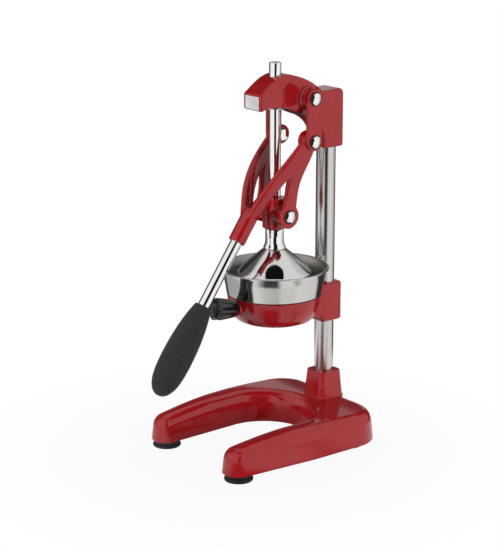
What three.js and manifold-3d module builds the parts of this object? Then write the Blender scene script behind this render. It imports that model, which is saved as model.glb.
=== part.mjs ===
// Lever citrus press: an enamelled frame with a column, a linked lever that drives a plunger
// with a press cone down into a strainer bowl, and a cup holder clamped on the column.
// Millimetres, +Z up. The plunger runs along the Z axis, the front is -Y, the floor is Z = 0.
import * as THREE from 'three';
import { mergeVertices } from 'three/addons/utils/BufferGeometryUtils.js';
import Module from 'manifold-3d';

const wasm = await Module();
wasm.setup();

// ---------------------------------------------------------------- driving sizes
const seatGap = 0.3;            // clearance left between pieces that touch
const runGap = 0.3;             // radial clearance of a pin in its eye

// column
const columnY = 84;
const columnRadius = 12.5;
const columnCover = 5;          // head block above the top of the column

// base casting
const footHeight = 9;
const legFrontY = -136.5;
const toeWidth = 37;
const openingRadius = 60;
const openingCentreY = -16;
const baseHalfWidth = 102.5;
const legTaper = 9;             // how much narrower the casting is at the toes, each side
const baseRearY = 107;
const rearCornerRadius = 52;
const frontCornerRadius = 16;
const legHeightFront = 32;      // casting height at the toes
const baseHeightRear = 40.5;    // casting height at the rear edge
const deckFillet = 10;
const baseDraft = 3.6;
const castingWall = 6;
const deckThickness = 9;
const socketTop = 83;
const socketHalfTop = 17;
const socketHalfBottom = 22;
const columnSeatZ = 28;
const columnBossRadius = 20;
const columnBossBottom = 20;
const columnBoltRadius = 4;
const columnBoltReach = 24;
const washerThickness = 2;
const hexAcross = 16;
const hexHeight = 6.4;

// feet
const footRadius = 18.2;
const footBaseRadius = 16.9;
const footInsetFront = 26.5;    // foot centres, in from the casting's sides and ends
const footInsetRear = 34.5;
const footInsetToe = 19.5;
const footInsetTail = 37;
const footRecessRadius = 7;
const footRecessDepth = 4;
const footScrewRadius = 2.5;
const footScrewHead = 5.5;
const footScrewHeadHeight = 2.7;
const footScrewReach = 13;
const footBossRadius = 9;

// head casting: the crown sets the height of the head and of what hangs on it
const headHalfWidth = 16.8;
const headCrown = 484.2;
const crownY = 11;
const crownRise = 22.9;         // crown above the top of the nose
const crownDrop = 27.2;         // crown down to the top of the block
const noseY = -34.7;
const noseHeight = 19.3;
const archFrontY = -21.5;
const archLift = 2;             // highest point of the arch above the underside of the nose
const blockHeight = 71.5;
const blockRear = 17;           // from the column axis to the rear face
const headChamfer = 2.4;
const badgeWidth = 26;
const badgeHeight = 15.5;
const badgeThickness = 1;
const bushRadius = 11;
const bushLength = 16;
const bushFlange = 13.5;
const bushFlangeThickness = 2;

// plunger
const shaftRadius = 7.6;
const shaftStand = 13.8;        // shaft above the crown, lever down
const guideClearance = 1.1;     // room for the small sideways play of the plunger in the head
const neckRadius = 11.8;
const neckFlare = 14.2;
const coneHeight = 33.1;
const coneDip = 9.1;            // lower edge of the cone below the rim of the bowl, lever down
const coneRadius = 47.7;
const coneWall = 2.4;
const bracketRadius = 15.5;
const neckHeight = 26.3;
const bracketHeight = 39;
const bracketBossRadius = 13;
const spigotRadius = 6;
const spigotLength = 10;
const coneScrewRadius = 4;
const coneScrewHead = 8;
const coneScrewHeadHeight = 3.6;
const coneScrewReach = 14;

// linkage pivots, in the plane of the lever
const upperPivotY = 30;
const upperPivotDrop = 29.7;    // upper pivot below the crown
const linkLength = 54;
const lowerPivotRise = 19;      // lower pivot above the foot of the plunger bracket
const pinRadius = 5;
const boltHeadRadius = 7.3;
const boltHeadHeight = 3.6;
const boltBlindDepth = 1.7;
const pivotWasherRadius = 9;
const pivotWasherThickness = 1.2;
const nutAcross = 14;
const nutHeight = 4.2;

// links
const linkInnerX = 37.7;
const linkThickness = 4.5;
const linkEndRadius = 11.7;
const headBossRadius = 15;
const headBossTip = 13;
const headBossStep = 29;
const headBossFlare = 30;
const headFlareDepth = 9;

// lever
const middleEyeRadius = 12.4;
const middleEyeInnerX = 22.5;
const lowerEyeRadius = 15.4;
const lowerEyeInnerX = 21;
const lowerEyeOuterX = 30;
const handleTilt = 35;          // degrees from the vertical
const socketY = -38.3;
const socketRise = 4.1;         // top of the socket above the lower pivot
const socketRadius = 10.8;
const socketLength = 40;
const socketBlind = 5;
const rodRadius = 7.6;
const rodEnd = 244;             // from the top of the socket, along the handle
const gripStart = 130;
const gripLength = 124.5;
const gripRadius = 20.4;
const gripWall = 3;
const rodScrewRadius = 2.5;

// cup holder
const holderTop = 202.5;
const holderDepth = 34;
const holderTopRadius = 60.6;
const holderBottomRadius = 44;
const holderWall = 2.8;
const holderFloor = 3.6;
const spoutRadius = 12;
const spoutBore = 8;
const spoutLength = 9;
const clampHalf = 17.3;
const clampStand = 1.5;         // clamp above the rim of the holder
const clampHeight = 51;
const armHalf = 15.2;
const armDrop = 2.5;
const armHeight = 40;
const setScrewRadius = 3;
const setScrewHead = 5.5;
const setScrewHeadHeight = 4;

// strainer bowl and reamer
const bowlRise = 35.2;          // rim of the bowl above the rim of the holder
const rimRadius = 70;
const rimBead = 2.2;
const bowlWall = 1.8;
const bowlShoulder = 61;
const bowlDepthBelow = 24.5;    // floor of the bowl below the rim of the holder
const bowlFloorRadius = 47;
const strainSlots = 8;
const slotWidth = 3;
const slotLength = 12;
const slotInner = 30;
const reamerRadius = 26;
const reamerStand = 5.3;        // tip of the reamer above the rim of the bowl

// knob at the front of the holder, on an axis that leans up a little
const knobBaseY = -60;
const knobDrop = 10.5;          // knob axis below the rim of the holder
const knobLean = 8;             // degrees
const knobBossLength = 4.7;
const knobBossRadius = 9;
const knobNeckRadius = 8.8;
const knobBodyRadius = 13.2;
const knobCapRadius = 14.6;
const knobBodyLength = 22;
const knobLength = 33.6;
const knobStemRadius = 4;
const knobStemReach = 20;

// ---------------------------------------------------------------- places worked out
const legOuterHalfFront = baseHalfWidth - legTaper;
const legInnerHalfFront = legOuterHalfFront - toeWidth;
const footX = baseHalfWidth - footInsetFront;
const footRearX = baseHalfWidth - footInsetRear;
const footFrontY = legFrontY + footInsetToe;
const footRearY = baseRearY - footInsetTail;
const holderBottom = holderTop - holderDepth;
const clampTop = holderTop + clampStand;
const clampBottom = clampTop - clampHeight;
const armTop = holderTop - armDrop;
const armBottom = armTop - armHeight;
const knobBaseZ = holderTop - knobDrop;
const rimTop = holderTop + bowlRise;
const bowlFloorZ = holderTop - bowlDepthBelow;
const reamerTop = rimTop + reamerStand;
const coneBottom = rimTop - coneDip;
const coneTop = coneBottom + coneHeight;
const bracketBottom = coneTop + neckHeight;
const bracketTop = bracketBottom + bracketHeight;
const lowerPivotZ = bracketBottom + lowerPivotRise;
const socketZ = lowerPivotZ + socketRise;
const noseTop = headCrown - crownRise;
const noseBottom = noseTop - noseHeight;
const blockTop = headCrown - crownDrop;
const blockBottom = blockTop - blockHeight;
const columnTop = blockTop - columnCover;
const shaftTop = headCrown + shaftStand;
const upperPivotZ = headCrown - upperPivotDrop;
const middlePivotZ = upperPivotZ - linkLength;

// ---------------------------------------------------------------- materials
const paint = (color, roughness, metalness) => () =>
  new THREE.MeshStandardMaterial({ color, roughness, metalness });
const enamel = paint(0xa01820, 0.22, 0);
const chrome = paint(0xe4e6e8, 0.06, 1);
const steel = paint(0xc9cbcd, 0.22, 1);
const zinc = paint(0xa9abad, 0.38, 1);
const rubber = paint(0x161616, 0.75, 0);
const foam = paint(0x2e2e30, 0.95, 0);
const plastic = paint(0x151517, 0.4, 0);
const badgeMetal = paint(0xc4c6c8, 0.3, 1);
const darkRing = paint(0x2a1416, 0.45, 0);

// ---------------------------------------------------------------- helpers
// sides of round pieces, by their size
const roundFine = 36;
const roundMid = 20;
const roundSmall = 12;
const V2 = (x, y) => new THREE.Vector2(x, y);
const V3 = (x, y, z) => new THREE.Vector3(x, y, z);
const rad = THREE.MathUtils.degToRad;

// merges shared vertices, drops empty triangles and turns the faces outward
function closed(geometry) {
  const bare = geometry.clone();
  bare.deleteAttribute('normal');
  bare.deleteAttribute('uv');
  const merged = mergeVertices(bare, 1e-3);
  const p = merged.getAttribute('position').array;
  const source = merged.getIndex().array;
  const index = [];
  let volume = 0;
  for (let i = 0; i < source.length; i += 3) {
    const [a, b, c] = [source[i], source[i + 1], source[i + 2]];
    if (a === b || b === c || c === a) continue;
    index.push(a, b, c);
    const va = V3(p[3 * a], p[3 * a + 1], p[3 * a + 2]);
    const vb = V3(p[3 * b], p[3 * b + 1], p[3 * b + 2]);
    const vc = V3(p[3 * c], p[3 * c + 1], p[3 * c + 2]);
    volume += va.dot(vb.cross(vc)) / 6;
  }
  if (volume < 0) index.reverse();
  merged.setIndex(index);
  return merged;
}

function solid(geometry) {
  const g = closed(geometry);
  return new wasm.Manifold(new wasm.Mesh({
    numProp: 3,
    vertProperties: new Float32Array(g.getAttribute('position').array),
    triVerts: new Uint32Array(g.getIndex().array),
  }));
}

function surface(manifold) {
  const mesh = manifold.getMesh();
  const g = new THREE.BufferGeometry();
  g.setAttribute('position', new THREE.BufferAttribute(new Float32Array(mesh.vertProperties), 3));
  g.setIndex(new THREE.BufferAttribute(new Uint32Array(mesh.triVerts), 1));
  return g;
}

const joined = (...parts) => parts.reduce((sum, part) => sum.add(part));

// a turned piece on the Z axis from a profile of [radius, height] pairs
function turned(profile, segments = roundMid) {
  const points = profile.map(([r, z]) => V2(r, z));
  return new THREE.LatheGeometry(points, segments).rotateX(Math.PI / 2);
}

// a plain round bar on the Z axis between two heights
function bar(radius, low, high, segments = roundMid) {
  return turned([[0, low], [radius, low], [radius, high], [0, high]], segments);
}

// turns a piece made on the Z axis so that its axis runs along +X or -X
function acrossX(geometry, y, z, side = 1) {
  return geometry.rotateY(side * Math.PI / 2).translate(0, y, z);
}

// turns a piece made on the Z axis so that its axis runs out through the knob
function alongKnob(geometry) {
  return geometry.rotateX(rad(90 - knobLean)).translate(0, knobBaseY, knobBaseZ);
}

// turns a piece made on the Z axis so that its axis runs down the handle from the socket
function downHandle(geometry) {
  return geometry.rotateX(Math.PI).rotateX(-rad(handleTilt)).translate(0, socketY, socketZ);
}

function prism(points, depth, chamfer = 0) {
  return new THREE.ExtrudeGeometry(new THREE.Shape(points), {
    depth: depth - 2 * chamfer,
    steps: 1,
    bevelEnabled: chamfer > 0,
    bevelThickness: chamfer,
    bevelSize: chamfer,
    bevelOffset: -chamfer,
    bevelSegments: 1,
  }).translate(0, 0, chamfer);
}

// a side profile in (Y, Z), extruded along X from one X to another
function sidePlate(points, lowX, highX, chamfer = 0) {
  const toSide = new THREE.Matrix4().makeBasis(V3(0, 1, 0), V3(0, 0, 1), V3(1, 0, 0));
  return prism(points, highX - lowX, chamfer).applyMatrix4(toSide).translate(lowX, 0, 0);
}

function arc(cx, cy, radius, from, to, count) {
  const points = [];
  for (let i = 0; i <= count; i += 1) {
    const a = rad(from + (to - from) * i / count);
    points.push(V2(cx + radius * Math.cos(a), cy + radius * Math.sin(a)));
  }
  return points;
}

function box(x0, x1, y0, y1, z0, z1) {
  return new THREE.BoxGeometry(x1 - x0, y1 - y0, z1 - z0)
    .translate((x0 + x1) / 2, (y0 + y1) / 2, (z0 + z1) / 2);
}

// a plan outline raised through layers, each with its height and how far it draws in
function layered(outline, layers) {
  const count = outline.length;
  const area = outline.reduce((sum, p, i) => sum + p.cross(outline[(i + 1) % count]), 0);
  const turn = area > 0 ? 1 : -1;
  const inward = new Map();
  const key = (x, y) => `${x.toFixed(3)}/${y.toFixed(3)}`;
  outline.forEach((p, i) => {
    const before = p.clone().sub(outline[(i + count - 1) % count]).normalize();
    const after = outline[(i + 1) % count].clone().sub(p).normalize();
    const along = before.clone().add(after).normalize();
    const spread = Math.max(along.dot(after), 0.5);
    inward.set(key(p.x, p.y), V2(-along.y, along.x).multiplyScalar(turn / spread));
  });
  const g = new THREE.ExtrudeGeometry(new THREE.Shape(outline), {
    depth: layers.length - 1, steps: layers.length - 1, bevelEnabled: false,
  });
  const p = g.getAttribute('position');
  for (let i = 0; i < p.count; i += 1) {
    const layer = layers[Math.round(p.getZ(i))];
    const n = inward.get(key(p.getX(i), p.getY(i)));
    p.setXYZ(i, p.getX(i) + n.x * layer.inset, p.getY(i) + n.y * layer.inset, layer.z);
  }
  return g;
}

// a curved strip: rounded section of changing width and thickness along a smooth path
function strip(path, steps = 9) {
  const curve = new THREE.CatmullRomCurve3(path.map((s) => V3(s.x, s.y, s.z)));
  const widthAt = new THREE.SplineCurve(path.map((s, i) => V2(i, s.width)));
  const thickAt = new THREE.SplineCurve(path.map((s, i) => V2(i, s.thick)));
  const sides = 10;
  const section = new THREE.Shape(arc(0, 0, 1, 0, 360 - 360 / sides, sides - 1));
  const g = new THREE.ExtrudeGeometry(section, { depth: steps, steps, bevelEnabled: false });
  const p = g.getAttribute('position');
  const soften = (v) => Math.sign(v) * Math.abs(v) ** 0.45;
  for (let i = 0; i < p.count; i += 1) {
    const t = p.getZ(i) / steps;
    const at = curve.getPoint(t);
    const along = curve.getTangent(t);
    const across = V3(0, along.z, -along.y).normalize();
    const out = across.clone().cross(along).normalize();
    const w = widthAt.getPoint(t).y / 2 * soften(p.getX(i));
    const h = thickAt.getPoint(t).y / 2 * soften(p.getY(i));
    const to = at.addScaledVector(across, w).addScaledVector(out, h);
    p.setXYZ(i, to.x, to.y, to.z);
  }
  return g;
}

const mirroredX = (manifold) => manifold.mirror([1, 0, 0]);

const press = new THREE.Group();
function add(name, geometry, material) {
  const mesh = new THREE.Mesh(closed(geometry), material());
  mesh.name = name;
  press.add(mesh);
  return mesh;
}
const addBoth = (name, build, material) => {
  add(`${name}_left`, build(-1), material);
  add(`${name}_right`, build(1), material);
};

// ---------------------------------------------------------------- base casting
function baseOutline() {
  const c = frontCornerRadius;
  const half = [
    ...arc(legInnerHalfFront + c, legFrontY + c, c, 180, 270, 4),
    ...arc(legOuterHalfFront - c, legFrontY + c, c, 270, 360, 4),
    V2(baseHalfWidth - 1.4, -60),
    V2(baseHalfWidth, openingCentreY),
    ...arc(baseHalfWidth - rearCornerRadius, baseRearY - rearCornerRadius, rearCornerRadius, 0, 90, 8),
  ];
  const opening = arc(0, openingCentreY, openingRadius, 180, 0, 20);
  const other = half.map((p) => V2(-p.x, p.y)).reverse();
  return [...half, ...other, ...opening];
}

const baseRise = (baseHeightRear - legHeightFront) / legHeightFront / (baseRearY - legFrontY);

// the deck rises evenly from the toes to the rear
function risen(geometry) {
  const p = geometry.getAttribute('position');
  for (let i = 0; i < p.count; i += 1) {
    const growth = 1 + baseRise * (p.getY(i) - legFrontY);
    p.setZ(i, footHeight + (p.getZ(i) - footHeight) * growth);
  }
  return geometry;
}

function deckLayers() {
  const top = footHeight + legHeightFront;
  const layers = [
    { z: footHeight, inset: 1 },
    { z: footHeight + 1, inset: 0 },
  ];
  for (let i = 0; i <= 3; i += 1) {
    const a = rad(30 * i);
    layers.push({
      z: top - deckFillet + deckFillet * Math.sin(a),
      inset: baseDraft + deckFillet * (1 - Math.cos(a)),
    });
  }
  return layers;
}

const feet = [
  ['front_left', -footX, footFrontY],
  ['front_right', footX, footFrontY],
  ['rear_left', -footRearX, footRearY],
  ['rear_right', footRearX, footRearY],
];

function socketOutline() {
  const h = socketHalfBottom;
  const c = 6;
  return [V2(h - c, -h), V2(h, c - h), V2(h, h - c), V2(h - c, h), V2(c - h, h), V2(-h, h - c),
    V2(-h, c - h), V2(c - h, -h)].map((p) => V2(p.x, p.y + columnY));
}

function baseCasting() {
  const outline = baseOutline();
  const deck = solid(risen(layered(outline, deckLayers())));
  const socketBody = solid(layered(socketOutline(), [
    { z: footHeight + legHeightFront / 2, inset: 0 },
    { z: footHeight + baseHeightRear - 2, inset: 1 },
    { z: footHeight + baseHeightRear + 4, inset: 3.4 },
    { z: socketTop - 1.5, inset: socketHalfBottom - socketHalfTop },
    { z: socketTop, inset: socketHalfBottom - socketHalfTop + 1.5 },
  ]));
  let hollow = solid(risen(layered(outline, [
    { z: footHeight - 5, inset: castingWall },
    { z: footHeight + legHeightFront - deckThickness, inset: castingWall + 1 },
  ])));
  hollow = hollow.subtract(solid(bar(columnBossRadius, columnBossBottom, socketTop)
    .translate(0, columnY, 0)));
  for (const [, x, y] of feet) {
    hollow = hollow.subtract(solid(bar(footBossRadius, footHeight - 6, socketTop, roundSmall)
      .translate(x, y, 0)));
  }
  let casting = joined(deck, socketBody).subtract(hollow)
    .subtract(solid(bar(columnBossRadius + 2, footHeight - 5, columnBossBottom)
      .translate(0, columnY, 0)))
    .subtract(solid(bar(columnRadius + seatGap, columnSeatZ, socketTop + 5, 24)
      .translate(0, columnY, 0)))
    .subtract(solid(bar(columnBoltRadius + seatGap, 0, columnSeatZ + 5, roundSmall)
      .translate(0, columnY, 0)));
  for (const [, x, y] of feet) {
    casting = casting
      .subtract(solid(bar(footScrewRadius + seatGap, -1, footHeight + footScrewReach + 1, 12)
        .translate(x, y, 0)));
  }
  return surface(casting);
}
add('base_casting', baseCasting(), enamel);

function foot(x, y) {
  return turned([
    [footScrewRadius + seatGap, footRecessDepth],
    [footRecessRadius, footRecessDepth],
    [footRecessRadius, 0.6],
    [footRecessRadius + 0.6, 0],
    [footBaseRadius - 1, 0],
    [footBaseRadius, 1],
    [footRadius, footHeight - seatGap - 1.2],
    [footRadius - 0.8, footHeight - seatGap],
    [footScrewRadius + seatGap, footHeight - seatGap],
    [footScrewRadius + seatGap, footRecessDepth],
  ]).translate(x, y, 0);
}

function footScrew(x, y) {
  const seat = footRecessDepth - seatGap;
  return turned([
    [0, seat - footScrewHeadHeight],
    [footScrewHead - 1, seat - footScrewHeadHeight],
    [footScrewHead, seat - 1],
    [footScrewHead, seat],
    [footScrewRadius, seat],
    [footScrewRadius, footHeight + footScrewReach],
    [0, footHeight + footScrewReach],
  ], 12).translate(x, y, 0);
}
for (const [place, x, y] of feet) {
  add(`foot_${place}`, foot(x, y), rubber);
  add(`foot_screw_${place}`, footScrew(x, y), zinc);
}

// ---------------------------------------------------------------- column
const columnFoot = columnSeatZ + seatGap;
const tapDepth = columnBoltReach + 4;
add('column', turned([
  [0, columnFoot + tapDepth],
  [columnBoltRadius + seatGap, columnFoot + tapDepth],
  [columnBoltRadius + seatGap, columnFoot],
  [columnRadius - 1, columnFoot],
  [columnRadius, columnFoot + 1],
  [columnRadius, columnTop - 1],
  [columnRadius - 1, columnTop],
  [0, columnTop],
], 32).translate(0, columnY, 0), chrome);

const washerTop = columnBossBottom - seatGap;
const washerLow = washerTop - washerThickness;
add('column_washer', turned([
  [columnBoltRadius + seatGap, washerLow],
  [columnRadius, washerLow],
  [columnRadius, washerTop],
  [columnBoltRadius + seatGap, washerTop],
  [columnBoltRadius + seatGap, washerLow],
], roundMid).translate(0, columnY, 0), zinc);

const hexRadius = hexAcross / Math.sqrt(3);
add('column_bolt', surface(joined(
  solid(bar(hexRadius, washerLow - seatGap - hexHeight, washerLow - seatGap, 6)),
  solid(bar(columnBoltRadius, washerLow - seatGap - 1, columnFoot + columnBoltReach, roundSmall)),
).translate([0, columnY, 0])), zinc);

// ---------------------------------------------------------------- head casting
// shape of the head's side, as shares of the length and height of each run
const noseRun = [[0, 0], [0.147, 0.275], [0.3, 0.528], [0.53, 0.817], [0.759, 0.974], [1, 1]];
const backRun = [[0.2, 0.11], [0.418, 0.301], [0.655, 0.588], [0.836, 0.831], [1, 1]];
const archRun = [[0, 1], [0.107, 0.997], [0.243, 0.973], [0.379, 0.918], [0.492, 0.85],
  [0.616, 0.761], [0.746, 0.675], [0.864, 0.556], [0.949, 0.402], [0.991, 0.231], [1, 0.06]];
const spread = (run, fromY, toY, fromZ, toZ) =>
  run.map(([a, b]) => V2(fromY + (toY - fromY) * a, fromZ + (toZ - fromZ) * b));

function headProfile() {
  const rear = columnY + blockRear;
  const front = columnY - blockRear;
  const top = new THREE.SplineCurve([
    ...spread(noseRun, noseY, crownY, noseTop, headCrown),
    ...spread(backRun, crownY, front - 1, headCrown, blockTop),
  ]).getPoints(16);
  const archTop = noseBottom + archLift;
  const arch = new THREE.SplineCurve(spread(archRun, archFrontY, front, blockBottom, archTop))
    .getPoints(16);
  return [
    V2(noseY, noseBottom),
    ...arch,
    V2(front + 3, blockBottom),
    V2(rear - 3, blockBottom),
    V2(rear, blockBottom + 3),
    ...arc(rear - 6, blockTop - 6, 6, 0, 90, 4),
    ...top.reverse(),
  ];
}

function headPlan() {
  const w = headHalfWidth;
  const rear = columnY + blockRear;
  return [
    V2(1.5 - w, noseY), V2(w - 1.5, noseY), V2(w, noseY + 1.5),
    ...arc(w - 6, rear - 6, 6, 0, 90, 4),
    ...arc(6 - w, rear - 6, 6, 90, 180, 4),
    V2(-w, noseY + 1.5),
  ];
}

// stepped round boss on each side, ending just short of the link
function headBoss(side) {
  const tip = linkInnerX - seatGap;
  return solid(acrossX(turned([
    [0, headHalfWidth - 3],
    [headBossRadius, headHalfWidth - 3],
    [headBossRadius, headBossStep],
    [headBossTip, headBossStep + 1],
    [headBossTip, tip - 1],
    [headBossTip - 1, tip],
    [0, tip],
  ], 28), upperPivotY, upperPivotZ, side));
}

// hollow flare that leads from the flat side of the head out to the boss
function headFlare(side) {
  const base = headHalfWidth - 1;
  const reach = headBossFlare - headBossRadius;
  const profile = [[0, base]];
  for (let i = 0; i <= 4; i += 1) {
    const a = rad(22.5 * i);
    profile.push([headBossRadius + reach * (1 - Math.sin(a)),
      base + headFlareDepth * (1 - Math.cos(a))]);
  }
  profile.push([0, base + headFlareDepth]);
  return solid(acrossX(turned(profile, 28), upperPivotY, upperPivotZ, side));
}

const bushBottom = noseBottom - 1.5;
const headFlareReach = headHalfWidth + headFlareDepth + 5;
function headCasting() {
  let head = solid(sidePlate(headProfile(), -headHalfWidth, headHalfWidth, headChamfer))
    .intersect(solid(prism(headPlan(), headCrown - blockBottom + 40)
      .translate(0, 0, blockBottom - 20)));
  const flareLimit = solid(sidePlate(headProfile(), -headFlareReach, headFlareReach));
  const flares = joined(headFlare(1), headFlare(-1)).intersect(flareLimit);
  head = joined(head, flares, headBoss(1), headBoss(-1));
  const bore = shaftRadius + guideClearance;
  return surface(head
    .subtract(solid(bar(bore, noseBottom - 20, headCrown + 20)))
    .subtract(solid(bar(bushRadius + seatGap, noseBottom - 20, bushBottom + bushLength + seatGap)))
    .subtract(solid(bar(bushFlange + seatGap, noseBottom - 20,
      bushBottom + bushFlangeThickness + seatGap)))
    .subtract(solid(bar(columnRadius + seatGap, blockBottom - 5, columnTop + seatGap, 24)
      .translate(0, columnY, 0)))
    .subtract(solid(acrossX(bar(pinRadius + runGap, -60, 60, 16), upperPivotY, upperPivotZ)))
    .subtract(setScrewBore(headScrewZ)));
}

// clamp screws at the rear of the head and of the cup holder
const headScrewZ = (blockTop + blockBottom) / 2;
function setScrewBore(z) {
  return solid(bar(setScrewRadius + seatGap, 0, 40, roundSmall).rotateX(-Math.PI / 2)
    .translate(0, columnY, z));
}
function setScrew(z, rear) {
  const tip = columnRadius + seatGap;
  const seat = rear + seatGap;
  return turned([
    [0, tip],
    [setScrewRadius, tip],
    [setScrewRadius, seat],
    [setScrewHead, seat],
    [setScrewHead, seat + setScrewHeadHeight - 1],
    [setScrewHead - 1, seat + setScrewHeadHeight],
    [0, seat + setScrewHeadHeight],
  ], roundSmall).rotateX(-Math.PI / 2).translate(0, columnY, z);
}
add('head_casting', headCasting(), enamel);
add('head_set_screw', setScrew(headScrewZ, blockRear), chrome);

add('head_badge', box(-badgeWidth / 2, badgeWidth / 2,
  noseY - seatGap - badgeThickness, noseY - seatGap,
  (noseBottom + noseTop - badgeHeight) / 2, (noseBottom + noseTop + badgeHeight) / 2), badgeMetal);

const guideBore = shaftRadius + guideClearance;
add('guide_bush', turned([
  [guideBore, bushBottom],
  [bushFlange, bushBottom],
  [bushFlange, bushBottom + bushFlangeThickness],
  [bushRadius, bushBottom + bushFlangeThickness],
  [bushRadius, bushBottom + bushLength],
  [guideBore, bushBottom + bushLength],
  [guideBore, bushBottom],
]), steel);

// ---------------------------------------------------------------- cup holder
const knobBoreBottom = 0.6;

function holderCasting() {
  const wallAt = (t) => holderBottomRadius + (holderTopRadius - holderBottomRadius) * t;
  const height = holderTop - holderBottom;
  const shape = [[0.3, 0.075], [0.57, 0.25], [0.81, 0.54], [1, 1]];
  const outer = shape.map(([t, h]) => [wallAt(t), holderBottom + height * h]);
  const inner = shape.map(([r, z], i) => [outer[i][0] - holderWall, outer[i][1]]).reverse();
  inner[inner.length - 1] = [outer[0][0] - holderWall, holderBottom + holderFloor];
  const shell = solid(turned([
    [0, holderBottom - spoutLength],
    [spoutRadius - 1, holderBottom - spoutLength],
    [spoutRadius, holderBottom],
    [holderBottomRadius, holderBottom],
    ...outer,
    ...inner,
    [0, holderBottom + holderFloor],
  ], roundFine));
  const inside = solid(turned([
    [0, holderBottom + holderFloor],
    ...inner.slice().reverse(),
    [holderTopRadius - holderWall, holderTop + 20],
    [0, holderTop + 20],
  ], roundFine));
  const clamp = solid(prism([
    V2(-clampHalf, -clampHalf + 2), V2(-clampHalf + 2, -clampHalf), V2(clampHalf - 2, -clampHalf),
    V2(clampHalf, -clampHalf + 2), ...arc(clampHalf - 5, clampHalf - 5, 5, 0, 90, 3),
    ...arc(5 - clampHalf, clampHalf - 5, 5, 90, 180, 3),
  ], clampTop - clampBottom, 1.5).translate(0, columnY, clampBottom));
  const arm = solid(box(-armHalf, armHalf, holderBottomRadius, columnY - clampHalf + 3,
    armBottom, armTop));
  const boss = solid(alongKnob(bar(knobBossRadius, -holderWall * 2, knobBossLength)));
  const bowlSpace = solid(bar(bowlShoulder + 1.6, holderTop, holderTop + 20, roundFine));
  return surface(joined(shell, arm, boss.subtract(bowlSpace)).subtract(inside).add(clamp)
    .subtract(solid(bar(spoutBore, holderBottom - 20, holderTop)))
    .subtract(solid(bar(columnRadius + seatGap, clampBottom - 5, clampTop + 5, 24)
      .translate(0, columnY, 0)))
    .subtract(solid(alongKnob(bar(knobStemRadius + seatGap, knobBoreBottom, 40, roundSmall))))
    .subtract(setScrewBore(holderScrewZ)));
}
const holderScrewZ = (clampTop + clampBottom) / 2;
add('holder_casting', holderCasting(), enamel);
add('holder_set_screw', setScrew(holderScrewZ, clampHalf), chrome);

// ---------------------------------------------------------------- strainer bowl and reamer
const bowlSeat = holderTop + seatGap;
const bowlNeck = holderTopRadius - holderWall - seatGap;
function strainerBowl() {
  const w = bowlWall;
  const rimMid = rimTop - rimBead;
  const slotCut = () => box(slotInner, slotInner + slotLength, -slotWidth / 2, slotWidth / 2,
    bowlFloorZ - 10, bowlFloorZ + 10);
  let bowl = solid(turned([
    [0, bowlFloorZ],
    [bowlFloorRadius - 3, bowlFloorZ],
    [bowlFloorRadius, bowlFloorZ + 3],
    [bowlNeck - 3.2, bowlSeat - 13],
    [bowlNeck, bowlSeat],
    [bowlShoulder - 0.5, bowlSeat],
    [bowlShoulder, bowlSeat + 0.7],
    [rimRadius - rimBead * 2 + 0.3, rimMid - 3],
    [rimRadius - rimBead, rimMid - rimBead],
    [rimRadius - 0.5, rimMid - 1.2],
    [rimRadius, rimMid],
    [rimRadius - 0.5, rimMid + 1.2],
    [rimRadius - rimBead, rimTop],
    [rimRadius - rimBead * 2, rimMid + 0.6],
    [rimRadius - rimBead * 2 + 0.3 - w, rimMid - 4],
    [bowlShoulder - w, bowlSeat + w],
    [bowlNeck - w, bowlSeat + w - 0.6],
    [bowlNeck - 3.2 - w, bowlSeat - 13 + w],
    [bowlFloorRadius - w, bowlFloorZ + 4],
    [bowlFloorRadius - 4, bowlFloorZ + w],
    [0, bowlFloorZ + w],
  ], roundFine));
  for (let i = 0; i < strainSlots; i += 1) {
    bowl = bowl.subtract(solid(slotCut().rotateZ(2 * Math.PI * i / strainSlots)));
  }
  return surface(bowl);
}
add('strainer_bowl', strainerBowl(), steel);

const reamerFoot = bowlFloorZ + bowlWall + seatGap;
add('reamer_cone', turned([
  [0, reamerFoot],
  [reamerRadius, reamerFoot],
  [reamerRadius, reamerFoot + 3],
  [reamerRadius * 0.86, reamerFoot + (reamerTop - reamerFoot) * 0.35],
  [reamerRadius * 0.6, reamerFoot + (reamerTop - reamerFoot) * 0.68],
  [reamerRadius * 0.3, reamerFoot + (reamerTop - reamerFoot) * 0.92],
  [reamerRadius * 0.12, reamerTop - 0.6],
  [0, reamerTop],
]), steel);

// ---------------------------------------------------------------- knob at the front
const stemRear = knobBoreBottom + seatGap;
const knobRear = knobBossLength + seatGap;
const stemFront = knobRear + knobStemReach;
const knobFront = knobRear + knobLength;
add('knob_stem', alongKnob(bar(knobStemRadius, stemRear, stemFront, roundSmall)), steel);

function knob() {
  const body = knobRear + knobBodyLength;
  const bore = knobStemRadius + seatGap;
  return alongKnob(turned([
    [0, stemFront + seatGap],
    [bore, stemFront + seatGap],
    [bore, knobRear],
    [knobNeckRadius, knobRear],
    [knobNeckRadius + 0.6, knobRear + 4],
    [knobBodyRadius, body - 4],
    [knobBodyRadius, body],
    [knobCapRadius - 2.6, body + 1],
    [knobCapRadius, body + 2.4],
    [knobCapRadius, knobFront - 3.4],
    [knobCapRadius - 2, knobFront - 1],
    [knobCapRadius - 4.4, knobFront],
    [0, knobFront],
  ], 28));
}
add('knob', knob(), plastic);

// ---------------------------------------------------------------- links and pivots
const linkOuterX = linkInnerX + linkThickness;

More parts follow.
